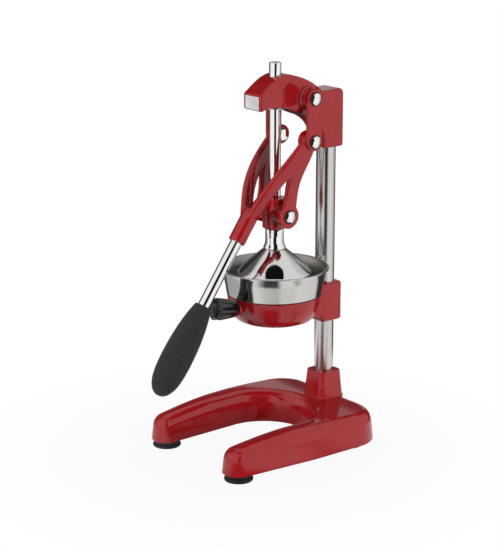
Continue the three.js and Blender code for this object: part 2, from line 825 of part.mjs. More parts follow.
function link(side) {
  const profile = [
    ...arc(upperPivotY, upperPivotZ, linkEndRadius, 0, 180, 10),
    ...arc(upperPivotY, middlePivotZ, linkEndRadius, 180, 360, 10),
  ];
  const low = side > 0 ? linkInnerX : -linkOuterX;
  const hole = (z) => solid(acrossX(bar(pinRadius + runGap, -60, 60, 16), upperPivotY, z));
  return surface(solid(sidePlate(profile, low, low + linkThickness, 0.6))
    .subtract(hole(upperPivotZ)).subtract(hole(middlePivotZ)));
}
addBoth('link', link, enamel);

function ring(inner, outer, low, thickness) {
  return turned([
    [inner, low],
    [outer, low],
    [outer - thickness * 0.3, low + thickness],
    [inner, low + thickness],
    [inner, low],
  ], 16);
}

// washer, then bolt head, outside the face at seatX
function pivotWasher(seatX, y, z, side) {
  return acrossX(ring(pinRadius + runGap, pivotWasherRadius, seatX + seatGap,
    pivotWasherThickness), y, z, side);
}
const headSeat = (seatX) => seatX + pivotWasherThickness + 2 * seatGap;

function boltHead(seatX, y, z, side) {
  const low = headSeat(seatX);
  return acrossX(turned([
    [0, low + boltBlindDepth],
    [pinRadius + seatGap, low + boltBlindDepth],
    [pinRadius + seatGap, low],
    [boltHeadRadius, low],
    [boltHeadRadius, low + boltHeadHeight - 0.8],
    [boltHeadRadius - 0.8, low + boltHeadHeight],
    [0, low + boltHeadHeight],
  ], 16), y, z, side);
}

// a through pin whose ends sit in the blind holes of its two heads
function throughPin(seatX, y, z) {
  const end = headSeat(seatX) + boltBlindDepth - seatGap;
  return acrossX(bar(pinRadius, -end, end, 16), y, z);
}

add('pivot_upper_pin', throughPin(linkOuterX, upperPivotY, upperPivotZ), chrome);
addBoth('pivot_upper_head', (side) => boltHead(linkOuterX, upperPivotY, upperPivotZ, side), chrome);
addBoth('pivot_upper_washer',
  (side) => pivotWasher(linkOuterX, upperPivotY, upperPivotZ, side), darkRing);

const nutInnerX = middleEyeInnerX - seatGap - nutHeight;
function middleBolt(side) {
  const low = headSeat(linkOuterX);
  return acrossX(turned([
    [0, nutInnerX + 0.6],
    [pinRadius, nutInnerX + 0.6],
    [pinRadius, low],
    [boltHeadRadius, low],
    [boltHeadRadius, low + boltHeadHeight - 0.8],
    [boltHeadRadius - 0.8, low + boltHeadHeight],
    [0, low + boltHeadHeight],
  ], 16), upperPivotY, middlePivotZ, side);
}
function middleNut(side) {
  const body = solid(bar(nutAcross / Math.sqrt(3), nutInnerX, nutInnerX + nutHeight, 6))
    .subtract(solid(bar(pinRadius + seatGap, 0, 60, 16)));
  return acrossX(surface(body), upperPivotY, middlePivotZ, side);
}
addBoth('pivot_middle_bolt', middleBolt, chrome);
addBoth('pivot_middle_nut', middleNut, chrome);
addBoth('pivot_middle_washer',
  (side) => pivotWasher(linkOuterX, upperPivotY, middlePivotZ, side), darkRing);

// ---------------------------------------------------------------- lever
function leverSide() {
  const eye = (radius, low, high, y, z) => solid(acrossX(turned([
    [0, low], [radius - 1, low], [radius, low + 1], [radius, high - 1], [radius - 1, high], [0, high],
  ], roundMid), y, z));
  const lowMid = (lowerEyeInnerX + lowerEyeOuterX) / 2;
  const hubX = (middleEyeInnerX + linkInnerX) / 2 + 2.4;
  const rise = middlePivotZ - lowerPivotZ;
  const reach = upperPivotY - socketY;
  const arm = strip([
    { x: hubX, y: upperPivotY + 1, z: middlePivotZ + 1, width: 22, thick: 9 },
    { x: hubX, y: upperPivotY - reach * 0.16, z: lowerPivotZ + rise * 0.877, width: 20.5, thick: 8.8 },
    { x: hubX * 0.917, y: upperPivotY - reach * 0.546, z: lowerPivotZ + rise * 0.618,
      width: 18.5, thick: 8.6 },
    { x: hubX * 0.597, y: upperPivotY - reach * 0.849, z: lowerPivotZ + rise * 0.338,
      width: 17.5, thick: 8.6 },
    { x: hubX * 0.265, y: socketY + 0.6, z: socketZ + 3, width: 17, thick: 9.5 },
    { x: hubX * 0.105, y: socketY - 7, z: socketZ - 10, width: 14, thick: 9.5 },
  ]);
  const step = hubX - lowMid;
  const leg = strip([
    { x: hubX, y: upperPivotY + 1, z: middlePivotZ + 1, width: 21, thick: 9 },
    { x: hubX, y: upperPivotY * 0.7, z: lowerPivotZ + rise * 0.802, width: 20, thick: 8.8 },
    { x: lowMid + step * 0.64, y: upperPivotY * 0.407, z: lowerPivotZ + rise * 0.626,
      width: 20, thick: 8.6 },
    { x: lowMid + step * 0.21, y: upperPivotY * 0.213, z: lowerPivotZ + rise * 0.444,
      width: 20, thick: 8.4 },
    { x: lowMid + step * 0.04, y: upperPivotY * 0.167, z: lowerPivotZ + rise * 0.257,
      width: 17.5, thick: 8.4 },
    { x: lowMid, y: 1.5, z: lowerPivotZ + 8, width: 22, thick: 8.4 },
    { x: lowMid, y: 0, z: lowerPivotZ - 2, width: 24, thick: 8.4 },
  ]);
  return joined(
    solid(arm), solid(leg),
    eye(middleEyeRadius, middleEyeInnerX, linkInnerX - seatGap, upperPivotY, middlePivotZ),
    eye(lowerEyeRadius, lowerEyeInnerX, lowerEyeOuterX, 0, lowerPivotZ),
  );
}

function leverYoke() {
  const side = leverSide();
  const socket = solid(downHandle(turned([
    [0, -socketRadius * 0.85],
    [socketRadius * 0.5, -socketRadius * 0.72],
    [socketRadius * 0.86, -socketRadius * 0.4],
    [socketRadius, 2],
    [socketRadius, socketLength - 0.8],
    [socketRadius - 0.8, socketLength],
    [0, socketLength],
  ], roundMid)));
  const hole = (y, z) => solid(acrossX(bar(pinRadius + runGap, -60, 60, 16), y, z));
  return surface(joined(side, mirroredX(side), socket)
    .subtract(hole(upperPivotY, middlePivotZ))
    .subtract(hole(0, lowerPivotZ))
    .subtract(solid(downHandle(bar(rodRadius + seatGap, socketBlind, socketLength + 10, roundMid))))
    .subtract(solid(rodScrewAcross(bar(rodScrewRadius + seatGap, 0, 30, 12)))));
}

// the set screw crosses the socket from its underside
function rodScrewAcross(geometry) {
  return downHandle(geometry.rotateX(Math.PI / 2).translate(0, 0, socketLength * 0.6));
}
add('lever_yoke', leverYoke(), enamel);

add('rod_set_screw', rodScrewAcross(bar(rodScrewRadius, rodRadius + seatGap,
  socketRadius + 1, 12)), chrome);

const gripBoreEnd = rodEnd + seatGap;
add('handle_rod', downHandle(turned([
  [0, socketBlind + seatGap],
  [rodRadius, socketBlind + seatGap],
  [rodRadius, rodEnd - 1],
  [rodRadius - 1, rodEnd],
  [0, rodEnd],
])), chrome);

// spindle shaped grip, closed at its lower end
add('handle_grip', downHandle(turned([
  [0, gripBoreEnd],
  [rodRadius + seatGap, gripBoreEnd],
  [rodRadius + seatGap, gripStart],
  [rodRadius + gripWall - 1, gripStart],
  [rodRadius + gripWall, gripStart + 1.5],
  [gripRadius * 0.68, gripStart + gripLength * 0.09],
  [gripRadius * 0.8, gripStart + gripLength * 0.2],
  [gripRadius * 0.93, gripStart + gripLength * 0.34],
  [gripRadius, gripStart + gripLength * 0.52],
  [gripRadius * 0.99, gripStart + gripLength * 0.7],
  [gripRadius * 0.9, gripStart + gripLength * 0.82],
  [gripRadius * 0.72, gripStart + gripLength * 0.915],
  [gripRadius * 0.45, gripStart + gripLength * 0.975],
  [0, gripStart + gripLength],
], 28)), foam);

// ---------------------------------------------------------------- plunger
const shaftSeat = bracketTop - 10;
function bracket() {
  const boss = (side) => solid(acrossX(turned([
    [0, 0],
    [bracketBossRadius, 0],
    [bracketBossRadius, lowerEyeInnerX - seatGap - 0.8],
    [bracketBossRadius - 0.8, lowerEyeInnerX - seatGap],
    [0, lowerEyeInnerX - seatGap],
  ]), 0, lowerPivotZ, side));
  const sleeve = solid(turned([
    [0, bracketBottom],
    [bracketRadius - 1.5, bracketBottom],
    [bracketRadius, bracketBottom + 1.5],
    [bracketRadius, bracketTop - 2],
    [bracketRadius - 2, bracketTop],
    [0, bracketTop],
  ], 28));
  return surface(joined(sleeve, boss(1), boss(-1))
    .subtract(solid(bar(shaftRadius + seatGap, shaftSeat, bracketTop + 10)))
    .subtract(solid(bar(spigotRadius + seatGap, bracketBottom - 10, bracketBottom + spigotLength)))
    .subtract(solid(acrossX(bar(pinRadius + runGap, -60, 60, 16), 0, lowerPivotZ))));
}
add('plunger_bracket', bracket(), enamel);

add('plunger_shaft', turned([
  [0, shaftSeat + seatGap],
  [shaftRadius, shaftSeat + seatGap],
  [shaftRadius, shaftTop - 1.2],
  [shaftRadius - 1.2, shaftTop],
  [0, shaftTop],
], 24), chrome);

const neckTop = bracketBottom - seatGap;
const screwBore = coneScrewRadius + seatGap;
add('press_neck', turned([
  [0, coneTop + seatGap + coneScrewReach],
  [screwBore, coneTop + seatGap + coneScrewReach],
  [screwBore, coneTop + seatGap],
  [neckFlare - 0.6, coneTop + seatGap],
  [neckFlare, coneTop + seatGap + 0.8],
  [neckRadius + 0.7, coneTop + 4],
  [neckRadius, coneTop + 8],
  [neckRadius, neckTop - 1],
  [neckRadius - 1, neckTop],
  [spigotRadius, neckTop],
  [spigotRadius, bracketBottom + spigotLength - seatGap],
  [0, bracketBottom + spigotLength - seatGap],
], 28), chrome);

add('press_cone', turned([
  [screwBore, coneTop - coneWall],
  [screwBore, coneTop],
  [neckFlare, coneTop],
  [neckFlare + 1, coneTop - 1],
  [coneRadius - 0.5, coneBottom + 1.5],
  [coneRadius, coneBottom + 0.5],
  [coneRadius - 0.4, coneBottom - 0.4],
  [coneRadius - coneWall, coneBottom - 0.4],
  [neckFlare - 1, coneTop - coneWall],
  [screwBore, coneTop - coneWall],
], roundFine), steel);

const screwSeat = coneTop - coneWall - seatGap;
add('cone_screw', turned([
  [0, screwSeat - coneScrewHeadHeight],
  [coneScrewHead - 1.2, screwSeat - coneScrewHeadHeight],
  [coneScrewHead, screwSeat - coneScrewHeadHeight + 1.2],
  [coneScrewHead, screwSeat],
  [coneScrewRadius, screwSeat],
  [coneScrewRadius, coneTop + coneScrewReach],
  [0, coneTop + coneScrewReach],
], 16), steel);

add('pivot_lower_pin', throughPin(lowerEyeOuterX, 0, lowerPivotZ), chrome);
addBoth('pivot_lower_head', (side) => boltHead(lowerEyeOuterX, 0, lowerPivotZ, side), chrome);
addBoth('pivot_lower_washer',
  (side) => pivotWasher(lowerEyeOuterX, 0, lowerPivotZ, side), darkRing);

// the origin is the middle of the whole press, on the floor
const whole = new THREE.Box3().setFromObject(press);
const middle = whole.getCenter(new THREE.Vector3());
for (const mesh of press.children) {
  mesh.geometry.translate(-middle.x, -middle.y, -whole.min.z);
}

export default press;
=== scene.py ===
"""Looks of the lever citrus press: enamelled castings, chromed bars, polished bowl and cone."""
from math import asin, atan2, cos, hypot, pi, radians, sin, tan

import bmesh
import bpy
from mathutils import Matrix, Vector
from mathutils.geometry import interpolate_bezier


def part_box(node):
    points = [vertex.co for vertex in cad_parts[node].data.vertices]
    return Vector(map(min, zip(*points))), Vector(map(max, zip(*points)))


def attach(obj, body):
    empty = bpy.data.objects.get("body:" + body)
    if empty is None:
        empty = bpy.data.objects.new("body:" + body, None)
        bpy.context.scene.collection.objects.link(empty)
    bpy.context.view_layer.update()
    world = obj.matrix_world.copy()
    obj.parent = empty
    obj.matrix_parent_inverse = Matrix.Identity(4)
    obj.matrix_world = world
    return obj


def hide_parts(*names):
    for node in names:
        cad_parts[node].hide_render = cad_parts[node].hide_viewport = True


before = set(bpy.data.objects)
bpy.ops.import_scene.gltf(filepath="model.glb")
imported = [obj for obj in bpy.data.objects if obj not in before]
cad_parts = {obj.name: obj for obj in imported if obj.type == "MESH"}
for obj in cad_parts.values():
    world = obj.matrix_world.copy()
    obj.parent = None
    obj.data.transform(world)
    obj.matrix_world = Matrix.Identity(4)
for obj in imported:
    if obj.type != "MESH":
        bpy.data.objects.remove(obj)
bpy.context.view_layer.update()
scene = bpy.context.scene
scene.view_settings.view_transform = "Standard"

# Pieces are modelled in millimetres with the plunger on the Z axis, then put in the frame.
shaft_low, shaft_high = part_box("plunger_shaft")
AXIS_Y = (shaft_low[1] + shaft_high[1]) / 2
PLACE = Matrix.Translation((0, AXIS_Y, 0)) @ Matrix.Scale(0.001, 4)

# -------------------- camera
# How far the camera stands round to the right of the front, how high, and how far off.
VIEW_TURN, VIEW_RISE, VIEW_DISTANCE = radians(51.86), radians(15.52), 2.27577
LENS_MM, SENSOR_MM = 118.71, 36
LOOKED_AT = Vector((0, AXIS_Y - 0.03949, 0.23352))


def aim_camera():
    back = Vector((sin(VIEW_TURN) * cos(VIEW_RISE), -cos(VIEW_TURN) * cos(VIEW_RISE),
                   sin(VIEW_RISE)))
    camera = bpy.data.objects.new("camera", bpy.data.cameras.new("camera"))
    camera.data.lens = LENS_MM
    camera.data.sensor_width = SENSOR_MM
    camera.data.clip_end = 20
    camera.location = LOOKED_AT + back * VIEW_DISTANCE
    camera.rotation_euler = back.to_track_quat("Z", "Y").to_euler()
    scene.collection.objects.link(camera)
    scene.camera = camera


aim_camera()


# -------------------- materials
def paint(code):
    """An sRGB hex code as a linear colour."""
    parts = [int(code[i:i + 2], 16) / 255 for i in (1, 3, 5)]
    return (*[c / 12.92 if c <= 0.04045 else ((c + 0.055) / 1.055) ** 2.4 for c in parts], 1)


def grey(level):
    """A linear grey, from 0 for black to 1 for white."""
    return (level, level, level, 1)


def each(size_mm):
    """The scale at which a pattern's blotches or cells are about size_mm across."""
    return 1000 / size_mm


def add(tree, kind, sockets=None, stops=(), **settings):
    """Adds a node with its settings, its socket values, its links and a ramp's stops."""
    node = tree.nodes.new(kind)
    for name, value in settings.items():
        setattr(node, name, value)
    for name, value in (sockets or {}).items():
        if isinstance(value, bpy.types.Node):
            value = value.outputs[0]
        if isinstance(value, bpy.types.NodeSocket):
            tree.links.new(value, node.inputs[name])
        else:
            node.inputs[name].default_value = value
    if stops:
        elements = node.color_ramp.elements
        while len(elements) < len(stops):
            elements.new(0.5)
        for element, (place, colour) in zip(elements, sorted(stops)):
            element.position = place
            element.color = colour
    return node


def material(name, surface, *settings):
    """A new material, whose surface a function makes from its nodes and Object coordinates."""
    made = bpy.data.materials.new(name)
    made.use_nodes = True
    tree = made.node_tree
    tree.nodes.clear()
    where = add(tree, "ShaderNodeTexCoord").outputs["Object"]
    add(tree, "ShaderNodeOutputMaterial", {"Surface": surface(tree, where, *settings)})
    return made


def red_enamel(tree, where):
    # Stoving enamel sprayed on sand cast aluminium: deep red under a hard gloss,
    # with the slight orange peel of a thick coat and a little pooling of colour.
    pool = add(tree, "ShaderNodeTexNoise", {"Vector": where, "Scale": each(28), "Detail": 3})
    colour = add(tree, "ShaderNodeValToRGB", {"Fac": pool},
                 [(0.3, paint("#A3141B")), (0.7, paint("#AD1A20"))])
    flow = add(tree, "ShaderNodeTexNoise", {"Vector": where, "Scale": each(9), "Detail": 3})
    gloss = add(tree, "ShaderNodeMapRange", {"Value": flow, "To Min": 0.07, "To Max": 0.13})
    peel = add(tree, "ShaderNodeTexNoise", {"Vector": where, "Scale": each(2.4), "Detail": 1.5})
    relief = add(tree, "ShaderNodeBump", {"Height": peel, "Distance": 0.012 / 1000})
    return add(tree, "ShaderNodeBsdfPrincipled",
               {"Base Color": colour, "Roughness": gloss, "IOR": 1.5, "Normal": relief})


def chrome_plate(tree, where):
    # Bright nickel and chrome on ground bar: a near mirror with a faint haze of wiping marks.
    haze = add(tree, "ShaderNodeTexNoise", {"Vector": where, "Scale": each(14), "Detail": 4})
    gloss = add(tree, "ShaderNodeMapRange", {"Value": haze, "To Min": 0.02, "To Max": 0.045})
    waves = add(tree, "ShaderNodeTexNoise", {"Vector": where, "Scale": each(6), "Detail": 1})
    relief = add(tree, "ShaderNodeBump", {"Height": waves, "Distance": 0.004 / 1000})
    return add(tree, "ShaderNodeBsdfPrincipled",
               {"Base Color": paint("#F1F0EE"), "Metallic": 1, "Roughness": gloss,
                "Normal": relief})


def ground_bar(tree, where):
    # Centreless ground steel bar under thin chrome: bright but softer than the polished rods.
    along = add(tree, "ShaderNodeMapping", {"Vector": where, "Scale": (1, 1, 0.06)})
    lines = add(tree, "ShaderNodeTexNoise", {"Vector": along, "Scale": each(0.9), "Detail": 3})
    gloss = add(tree, "ShaderNodeMapRange", {"Value": lines, "To Min": 0.18, "To Max": 0.28})
    relief = add(tree, "ShaderNodeBump", {"Height": lines, "Distance": 0.003 / 1000})
    return add(tree, "ShaderNodeBsdfPrincipled",
               {"Base Color": paint("#D2CFCC"), "Metallic": 1, "Roughness": gloss,
                "Normal": relief})


def spun_steel(tree, where, colour, low, high, line_mm, depth_mm, hollow_shade_and_roughness=0.0):
    # Stainless sheet spun on a lathe and buffed: grey mirror broken by fine rings round the axis.
    # The rings are drawn coarser than real buffing marks, so that they show at arm's length.
    # Faces turned to the axis are rougher, and their colour is a darker grey as painted shade
    # inside the hollow; the last setting says how much of both.
    about = add(tree, "ShaderNodeVectorMath", {0: where, 1: (0, -AXIS_Y, 0)})
    out = add(tree, "ShaderNodeVectorMath", {0: about, 1: (1, 1, 0)}, operation="MULTIPLY")
    facing = add(tree, "ShaderNodeVectorMath", {0: out, 1: where.node.outputs["Normal"]},
                 operation="DOT_PRODUCT").outputs["Value"]
    inside = add(tree, "ShaderNodeMath", {0: facing, 1: -0.012}, operation="LESS_THAN")
    inner_shade_and_roughness = add(tree, "ShaderNodeMath", {0: inside, 1: hollow_shade_and_roughness}, operation="MULTIPLY")
    # Painted shade: faces turned to the axis take a darker grey colour.
    colour_with_inner_shade = add(tree, "ShaderNodeValToRGB", {"Fac": inner_shade_and_roughness},
                 [(0, paint(colour)), (0.4, paint("#98948F"))])
    radius = add(tree, "ShaderNodeVectorMath", {0: out}, operation="LENGTH").outputs["Value"]
    height = add(tree, "ShaderNodeSeparateXYZ", {"Vector": where}).outputs["Z"]
    turned = add(tree, "ShaderNodeCombineXYZ", {"X": radius, "Y": height})
    rings = add(tree, "ShaderNodeTexNoise", {"Vector": turned, "Scale": each(line_mm), "Detail": 3})
    cloud = add(tree, "ShaderNodeTexNoise", {"Vector": where, "Scale": each(22), "Detail": 3})
    both = add(tree, "ShaderNodeMath", {0: rings, 1: cloud}, operation="MULTIPLY")
    buffed = add(tree, "ShaderNodeMapRange", {"Value": both, "To Min": low, "To Max": high})
    gloss = add(tree, "ShaderNodeMath", {0: buffed, 1: inner_shade_and_roughness}, operation="ADD")
    relief = add(tree, "ShaderNodeBump", {"Height": rings, "Distance": depth_mm / 1000})
    return add(tree, "ShaderNodeBsdfPrincipled",
               {"Base Color": colour_with_inner_shade, "Metallic": 1, "Roughness": gloss, "Normal": relief})


def turned_steel(tree, where):
    # Plain machined stainless, as on nuts, stems and screws: satin with small tool marks.
    satin = add(tree, "ShaderNodeTexNoise", {"Vector": where, "Scale": each(1.2), "Detail": 3})
    gloss = add(tree, "ShaderNodeMapRange", {"Value": satin, "To Min": 0.2, "To Max": 0.34})
    marks = add(tree, "ShaderNodeTexNoise", {"Vector": where, "Scale": each(0.8), "Detail": 2})
    relief = add(tree, "ShaderNodeBump", {"Height": marks, "Distance": 0.01 / 1000})
    return add(tree, "ShaderNodeBsdfPrincipled",
               {"Base Color": paint("#B9BABC"), "Metallic": 1, "Roughness": gloss,
                "Normal": relief})


def zinc_plate(tree, where):
    # Clear passivated zinc on fasteners: dull grey with cloudy patches.
    cloud = add(tree, "ShaderNodeTexNoise", {"Vector": where, "Scale": each(3), "Detail": 4})
    colour = add(tree, "ShaderNodeValToRGB", {"Fac": cloud},
                 [(0.3, paint("#8D9093")), (0.7, paint("#A9ABAB"))])
    gloss = add(tree, "ShaderNodeMapRange", {"Value": cloud, "To Min": 0.34, "To Max": 0.5})
    grit = add(tree, "ShaderNodeTexNoise", {"Vector": where, "Scale": each(0.7), "Detail": 2})
    relief = add(tree, "ShaderNodeBump", {"Height": grit, "Distance": 0.012 / 1000})
    return add(tree, "ShaderNodeBsdfPrincipled",
               {"Base Color": colour, "Metallic": 1, "Roughness": gloss, "Normal": relief})


def black_rubber(tree, where):
    # Moulded natural rubber: matt near black, with a faint bloom and a fine mould texture.
    bloom = add(tree, "ShaderNodeTexNoise", {"Vector": where, "Scale": each(5), "Detail": 4})
    colour = add(tree, "ShaderNodeValToRGB", {"Fac": bloom},
                 [(0.35, paint("#141415")), (0.7, paint("#232324"))])
    gloss = add(tree, "ShaderNodeMapRange", {"Value": bloom, "To Min": 0.5, "To Max": 0.68})
    mould = add(tree, "ShaderNodeTexNoise", {"Vector": where, "Scale": each(0.9), "Detail": 3})
    relief = add(tree, "ShaderNodeBump", {"Height": mould, "Distance": 0.03 / 1000})
    return add(tree, "ShaderNodeBsdfPrincipled",
               {"Base Color": colour, "Roughness": gloss, "IOR": 1.52, "Normal": relief})


def foam_sleeve(tree, where):
    # Closed cell nitrile foam with a ground skin: soft charcoal, speckled by open cells.
    # The cells are drawn about 1 mm wide, coarser than real ones, so that they show.
    cells = add(tree, "ShaderNodeTexVoronoi", {"Vector": where, "Scale": each(1.1)}, feature="F1")
    mottle = add(tree, "ShaderNodeTexNoise",
                 {"Vector": where, "Scale": each(2.2), "Detail": 5, "Roughness": 0.75})
    both = add(tree, "ShaderNodeMath", {0: cells.outputs["Distance"], 1: mottle},
               operation="MULTIPLY")
    colour = add(tree, "ShaderNodeValToRGB", {"Fac": both},
                 [(0.05, paint("#202021")), (0.35, paint("#343435"))])
    relief = add(tree, "ShaderNodeBump", {"Height": both, "Distance": 0.18 / 1000})
    return add(tree, "ShaderNodeBsdfPrincipled",
               {"Base Color": colour, "Roughness": 0.88, "IOR": 1.45, "Sheen Weight": 0.12,
                "Sheen Roughness": 0.5, "Normal": relief})


def black_phenolic(tree, where):
    # Compression moulded phenolic: glossy black with a hint of flow in the surface.
    flow = add(tree, "ShaderNodeTexNoise", {"Vector": where, "Scale": each(7), "Detail": 3})
    colour = add(tree, "ShaderNodeValToRGB", {"Fac": flow},
                 [(0.3, paint("#0E0E0F")), (0.75, paint("#191A1B"))])
    gloss = add(tree, "ShaderNodeMapRange", {"Value": flow, "To Min": 0.1, "To Max": 0.2})
    skin = add(tree, "ShaderNodeTexNoise", {"Vector": where, "Scale": each(1.6), "Detail": 2})
    relief = add(tree, "ShaderNodeBump", {"Height": skin, "Distance": 0.02 / 1000})
    return add(tree, "ShaderNodeBsdfPrincipled",
               {"Base Color": colour, "Roughness": gloss, "IOR": 1.6, "Normal": relief})


def satin_plate(tree, where):
    # Satin anodised aluminium plate: pale, with fine straight brushing across it.
    across_it = add(tree, "ShaderNodeMapping", {"Vector": where, "Scale": (0.04, 1, 1)})
    brush = add(tree, "ShaderNodeTexNoise",
                {"Vector": across_it, "Scale": each(0.5), "Detail": 3})
    gloss = add(tree, "ShaderNodeMapRange", {"Value": brush, "To Min": 0.3, "To Max": 0.46})
    relief = add(tree, "ShaderNodeBump", {"Height": brush, "Distance": 0.01 / 1000})
    return add(tree, "ShaderNodeBsdfPrincipled",
               {"Base Color": paint("#F0EFEF"), "Metallic": 0.3, "Roughness": gloss,
                "Normal": relief})


def shadow_gap_washer(tree, where):
    # Glass filled nylon washer, coloured black brown as painted shade for the dark shadow gap round
    # each pivot head; half matt.
    tone_patches = add(tree, "ShaderNodeTexNoise", {"Vector": where, "Scale": each(2.5), "Detail": 3})
    colour = add(tree, "ShaderNodeValToRGB", {"Fac": tone_patches},
                 [(0.3, paint("#1A0E10")), (0.7, paint("#2A1718"))])
    gloss = add(tree, "ShaderNodeMapRange", {"Value": tone_patches, "To Min": 0.35, "To Max": 0.5})
    grit = add(tree, "ShaderNodeTexNoise", {"Vector": where, "Scale": each(0.8), "Detail": 2})
    relief = add(tree, "ShaderNodeBump", {"Height": grit, "Distance": 0.02 / 1000})
    return add(tree, "ShaderNodeBsdfPrincipled",
               {"Base Color": colour, "Roughness": gloss, "IOR": 1.53, "Normal": relief})


ENAMEL = material("red_stoved_enamel", red_enamel)
CHROME = material("bright_chrome_plate", chrome_plate)
GROUND = material("ground_steel_bar", ground_bar)
# The bowl's last setting darkens its inner faces as painted shade and makes them rougher.
BOWL_STEEL = material("buffed_stainless_bowl", spun_steel, "#CFCDCA", 0.08, 0.22, 0.8, 0.012, 0.3)
CONE_STEEL = material("polished_stainless_cone", spun_steel, "#DBD9D8", 0.03, 0.12, 0.7, 0.004)
STEEL = material("machined_stainless", turned_steel)
ZINC = material("zinc_plated_steel", zinc_plate)
RUBBER = material("moulded_black_rubber", black_rubber)
FOAM = material("ground_nitrile_foam", foam_sleeve)
PHENOLIC = material("moulded_black_phenolic", black_phenolic)
PLATE = material("satin_anodised_plate", satin_plate)
# Near black washers, coloured as painted shade for the shadow gap round the pivot heads.
SHADOW_GAP_WASHER = material("washer_painted_as_shadow_gap", shadow_gap_washer)


# -------------------- modelling helpers
MIRROR = Matrix.Scale(-1, 4, (1, 0, 0))
SMOOTH = ("SUBSURF", {"levels": 2, "render_levels": 2})
EVEN = ("WEIGHTED_NORMAL", {"keep_sharp": True, "weight": 60})


def unit(value):
    """The value kept from 0 to 1."""
    return min(max(value, 0), 1)


def at(x, y, z):
    """A step to a place."""
    return Matrix.Translation((x, y, z))


def across(side, y, z):
    """Turns a piece made on the Z axis so that its axis runs out sideways at a pivot."""
    return at(0, y, z) @ Matrix.Rotation(side * pi / 2, 4, "Y")


def spun(profile, steps=72):
    """A turned piece on the Z axis from a line of radius and height pairs."""
    bm = bmesh.new()
    line = [bm.verts.new((r, 0, z)) for r, z in profile]
    sides = [bm.edges.new(pair) for pair in zip(line, line[1:])]
    bmesh.ops.spin(bm, geom=line + sides, cent=(0, 0, 0), axis=(0, 0, 1), angle=2 * pi,
                   steps=steps, use_merge=True)
    bmesh.ops.remove_doubles(bm, verts=bm.verts, dist=0.001)
    bmesh.ops.recalc_face_normals(bm, faces=bm.faces)
    return bm


def rod(radius, low, high, steps=72):
    """A plain round bar on the Z axis."""
    return spun([(0, low), (radius, low), (radius, high), (0, high)], steps)


def hexagon(radius, depth):
    """A six sided bar on the Z axis, half above and half below the origin."""
    bm = bmesh.new()
    bmesh.ops.create_cone(bm, cap_ends=True, segments=6, radius1=radius, radius2=radius,
                          depth=depth)
    return bm


def rounded(bm, edges, width, segments, clamp=True):
    """Rounds the given edges."""
    bmesh.ops.bevel(bm, geom=edges, offset=width, offset_type="OFFSET", segments=segments,
                    profile=0.5, affect="EDGES", clamp_overlap=clamp, material=-1)
    return bm


def eased(bm, width, angle=30, segments=3, pick=None):
    """Rounds the edges sharper than an angle, or only those of them that pick chooses."""
    sharp = [e for e in bm.edges if len(e.link_faces) == 2
             and e.calc_face_angle() > radians(angle) and (pick is None or pick(e))]
    return rounded(bm, sharp, width, segments)


def sliced(bm, y, reach):
    """Cuts the faces along a plane across Y, so that the shape can bend there."""
    bmesh.ops.bisect_plane(bm, geom=bm.verts[:] + bm.edges[:] + bm.faces[:], dist=reach,
                           plane_co=(0, y, 0), plane_no=(0, 1, 0))


def moved(bm, *steps):
    """Moves the shape by each step in turn, and keeps its faces outward if one mirrors it."""
    for step in steps:
        bm.transform(step)
        if step.determinant() < 0:
            bmesh.ops.reverse_faces(bm, faces=bm.faces)
    return bm


def merged(*shapes):
    """Puts the shapes in one mesh."""
    whole = bmesh.new()
    for shape in shapes:
        mesh = bpy.data.meshes.new("part")
        shape.to_mesh(mesh)
        shape.free()
        whole.from_mesh(mesh)
        bpy.data.meshes.remove(mesh)
    return whole


def mirrored(bm):
    """The shape and its mirror image across the middle plane."""
    return merged(bm, moved(bm.copy(), MIRROR))


def with_modifiers(holder, modifiers):
    """Gives an object its modifiers, each a type and its settings."""
    for kind, settings in modifiers:
        modifier = holder.modifiers.new(kind.lower(), kind)
        for name, value in settings.items():
            setattr(modifier, name, value)


def shaped(bm, *modifiers):
    """Runs the shape through modifiers and gives the result."""
    mesh = bpy.data.meshes.new("shape")
    bm.to_mesh(mesh)
    bm.free()
    holder = bpy.data.objects.new("shape", mesh)
    scene.collection.objects.link(holder)
    with_modifiers(holder, modifiers)
    result = bmesh.new()
    result.from_object(holder, bpy.context.evaluated_depsgraph_get())
    bpy.data.objects.remove(holder)
    bpy.data.meshes.remove(mesh)
    return result


def cut(bm, tool, operation="DIFFERENCE"):
    """The shape after a boolean with another shape."""
    mesh = bpy.data.meshes.new("tool")
    tool.to_mesh(mesh)
    tool.free()
    other = bpy.data.objects.new("tool", mesh)
    scene.collection.objects.link(other)
    result = shaped(bm, ("BOOLEAN", {"object": other, "operation": operation,
                                     "solver": "EXACT"}))
    bpy.data.objects.remove(other)
    bpy.data.meshes.remove(mesh)
    return result


def cast(bm, grid, passes):
    """Fuses overlapping shapes into one casting with soft inside corners."""
    return shaped(bm, ("REMESH", {"mode": "VOXEL", "voxel_size": grid}),
                  ("SMOOTH", {"factor": 0.5, "iterations": passes}))


def curve(pairs, steps):
    """Pairs along a smooth line through the given pairs, with steps pieces between each two."""
    points = [Vector((*pair, 0)) for pair in pairs]
    run = []
    for i, (a, b) in enumerate(zip(points, points[1:])):
        start = (b - points[max(i - 1, 0)]) / 6
        end = (points[min(i + 2, len(points) - 1)] - a) / 6
        run += interpolate_bezier(a, a + start, b - end, b, steps + 1)[:-1]
    return [(point[0], point[1]) for point in run + [points[-1]]]


def slab(outline, low, high):
    """A side outline of Y and Z, made thick from one X to another."""
    bm = bmesh.new()
    face = bm.faces.new([bm.verts.new((low, y, z)) for y, z in outline])
    grown = bmesh.ops.extrude_face_region(bm, geom=[face])["geom"]
    bmesh.ops.translate(bm, vec=(high - low, 0, 0),
                        verts=[v for v in grown if isinstance(v, bmesh.types.BMVert)])
    bmesh.ops.recalc_face_normals(bm, faces=bm.faces)
    return bm


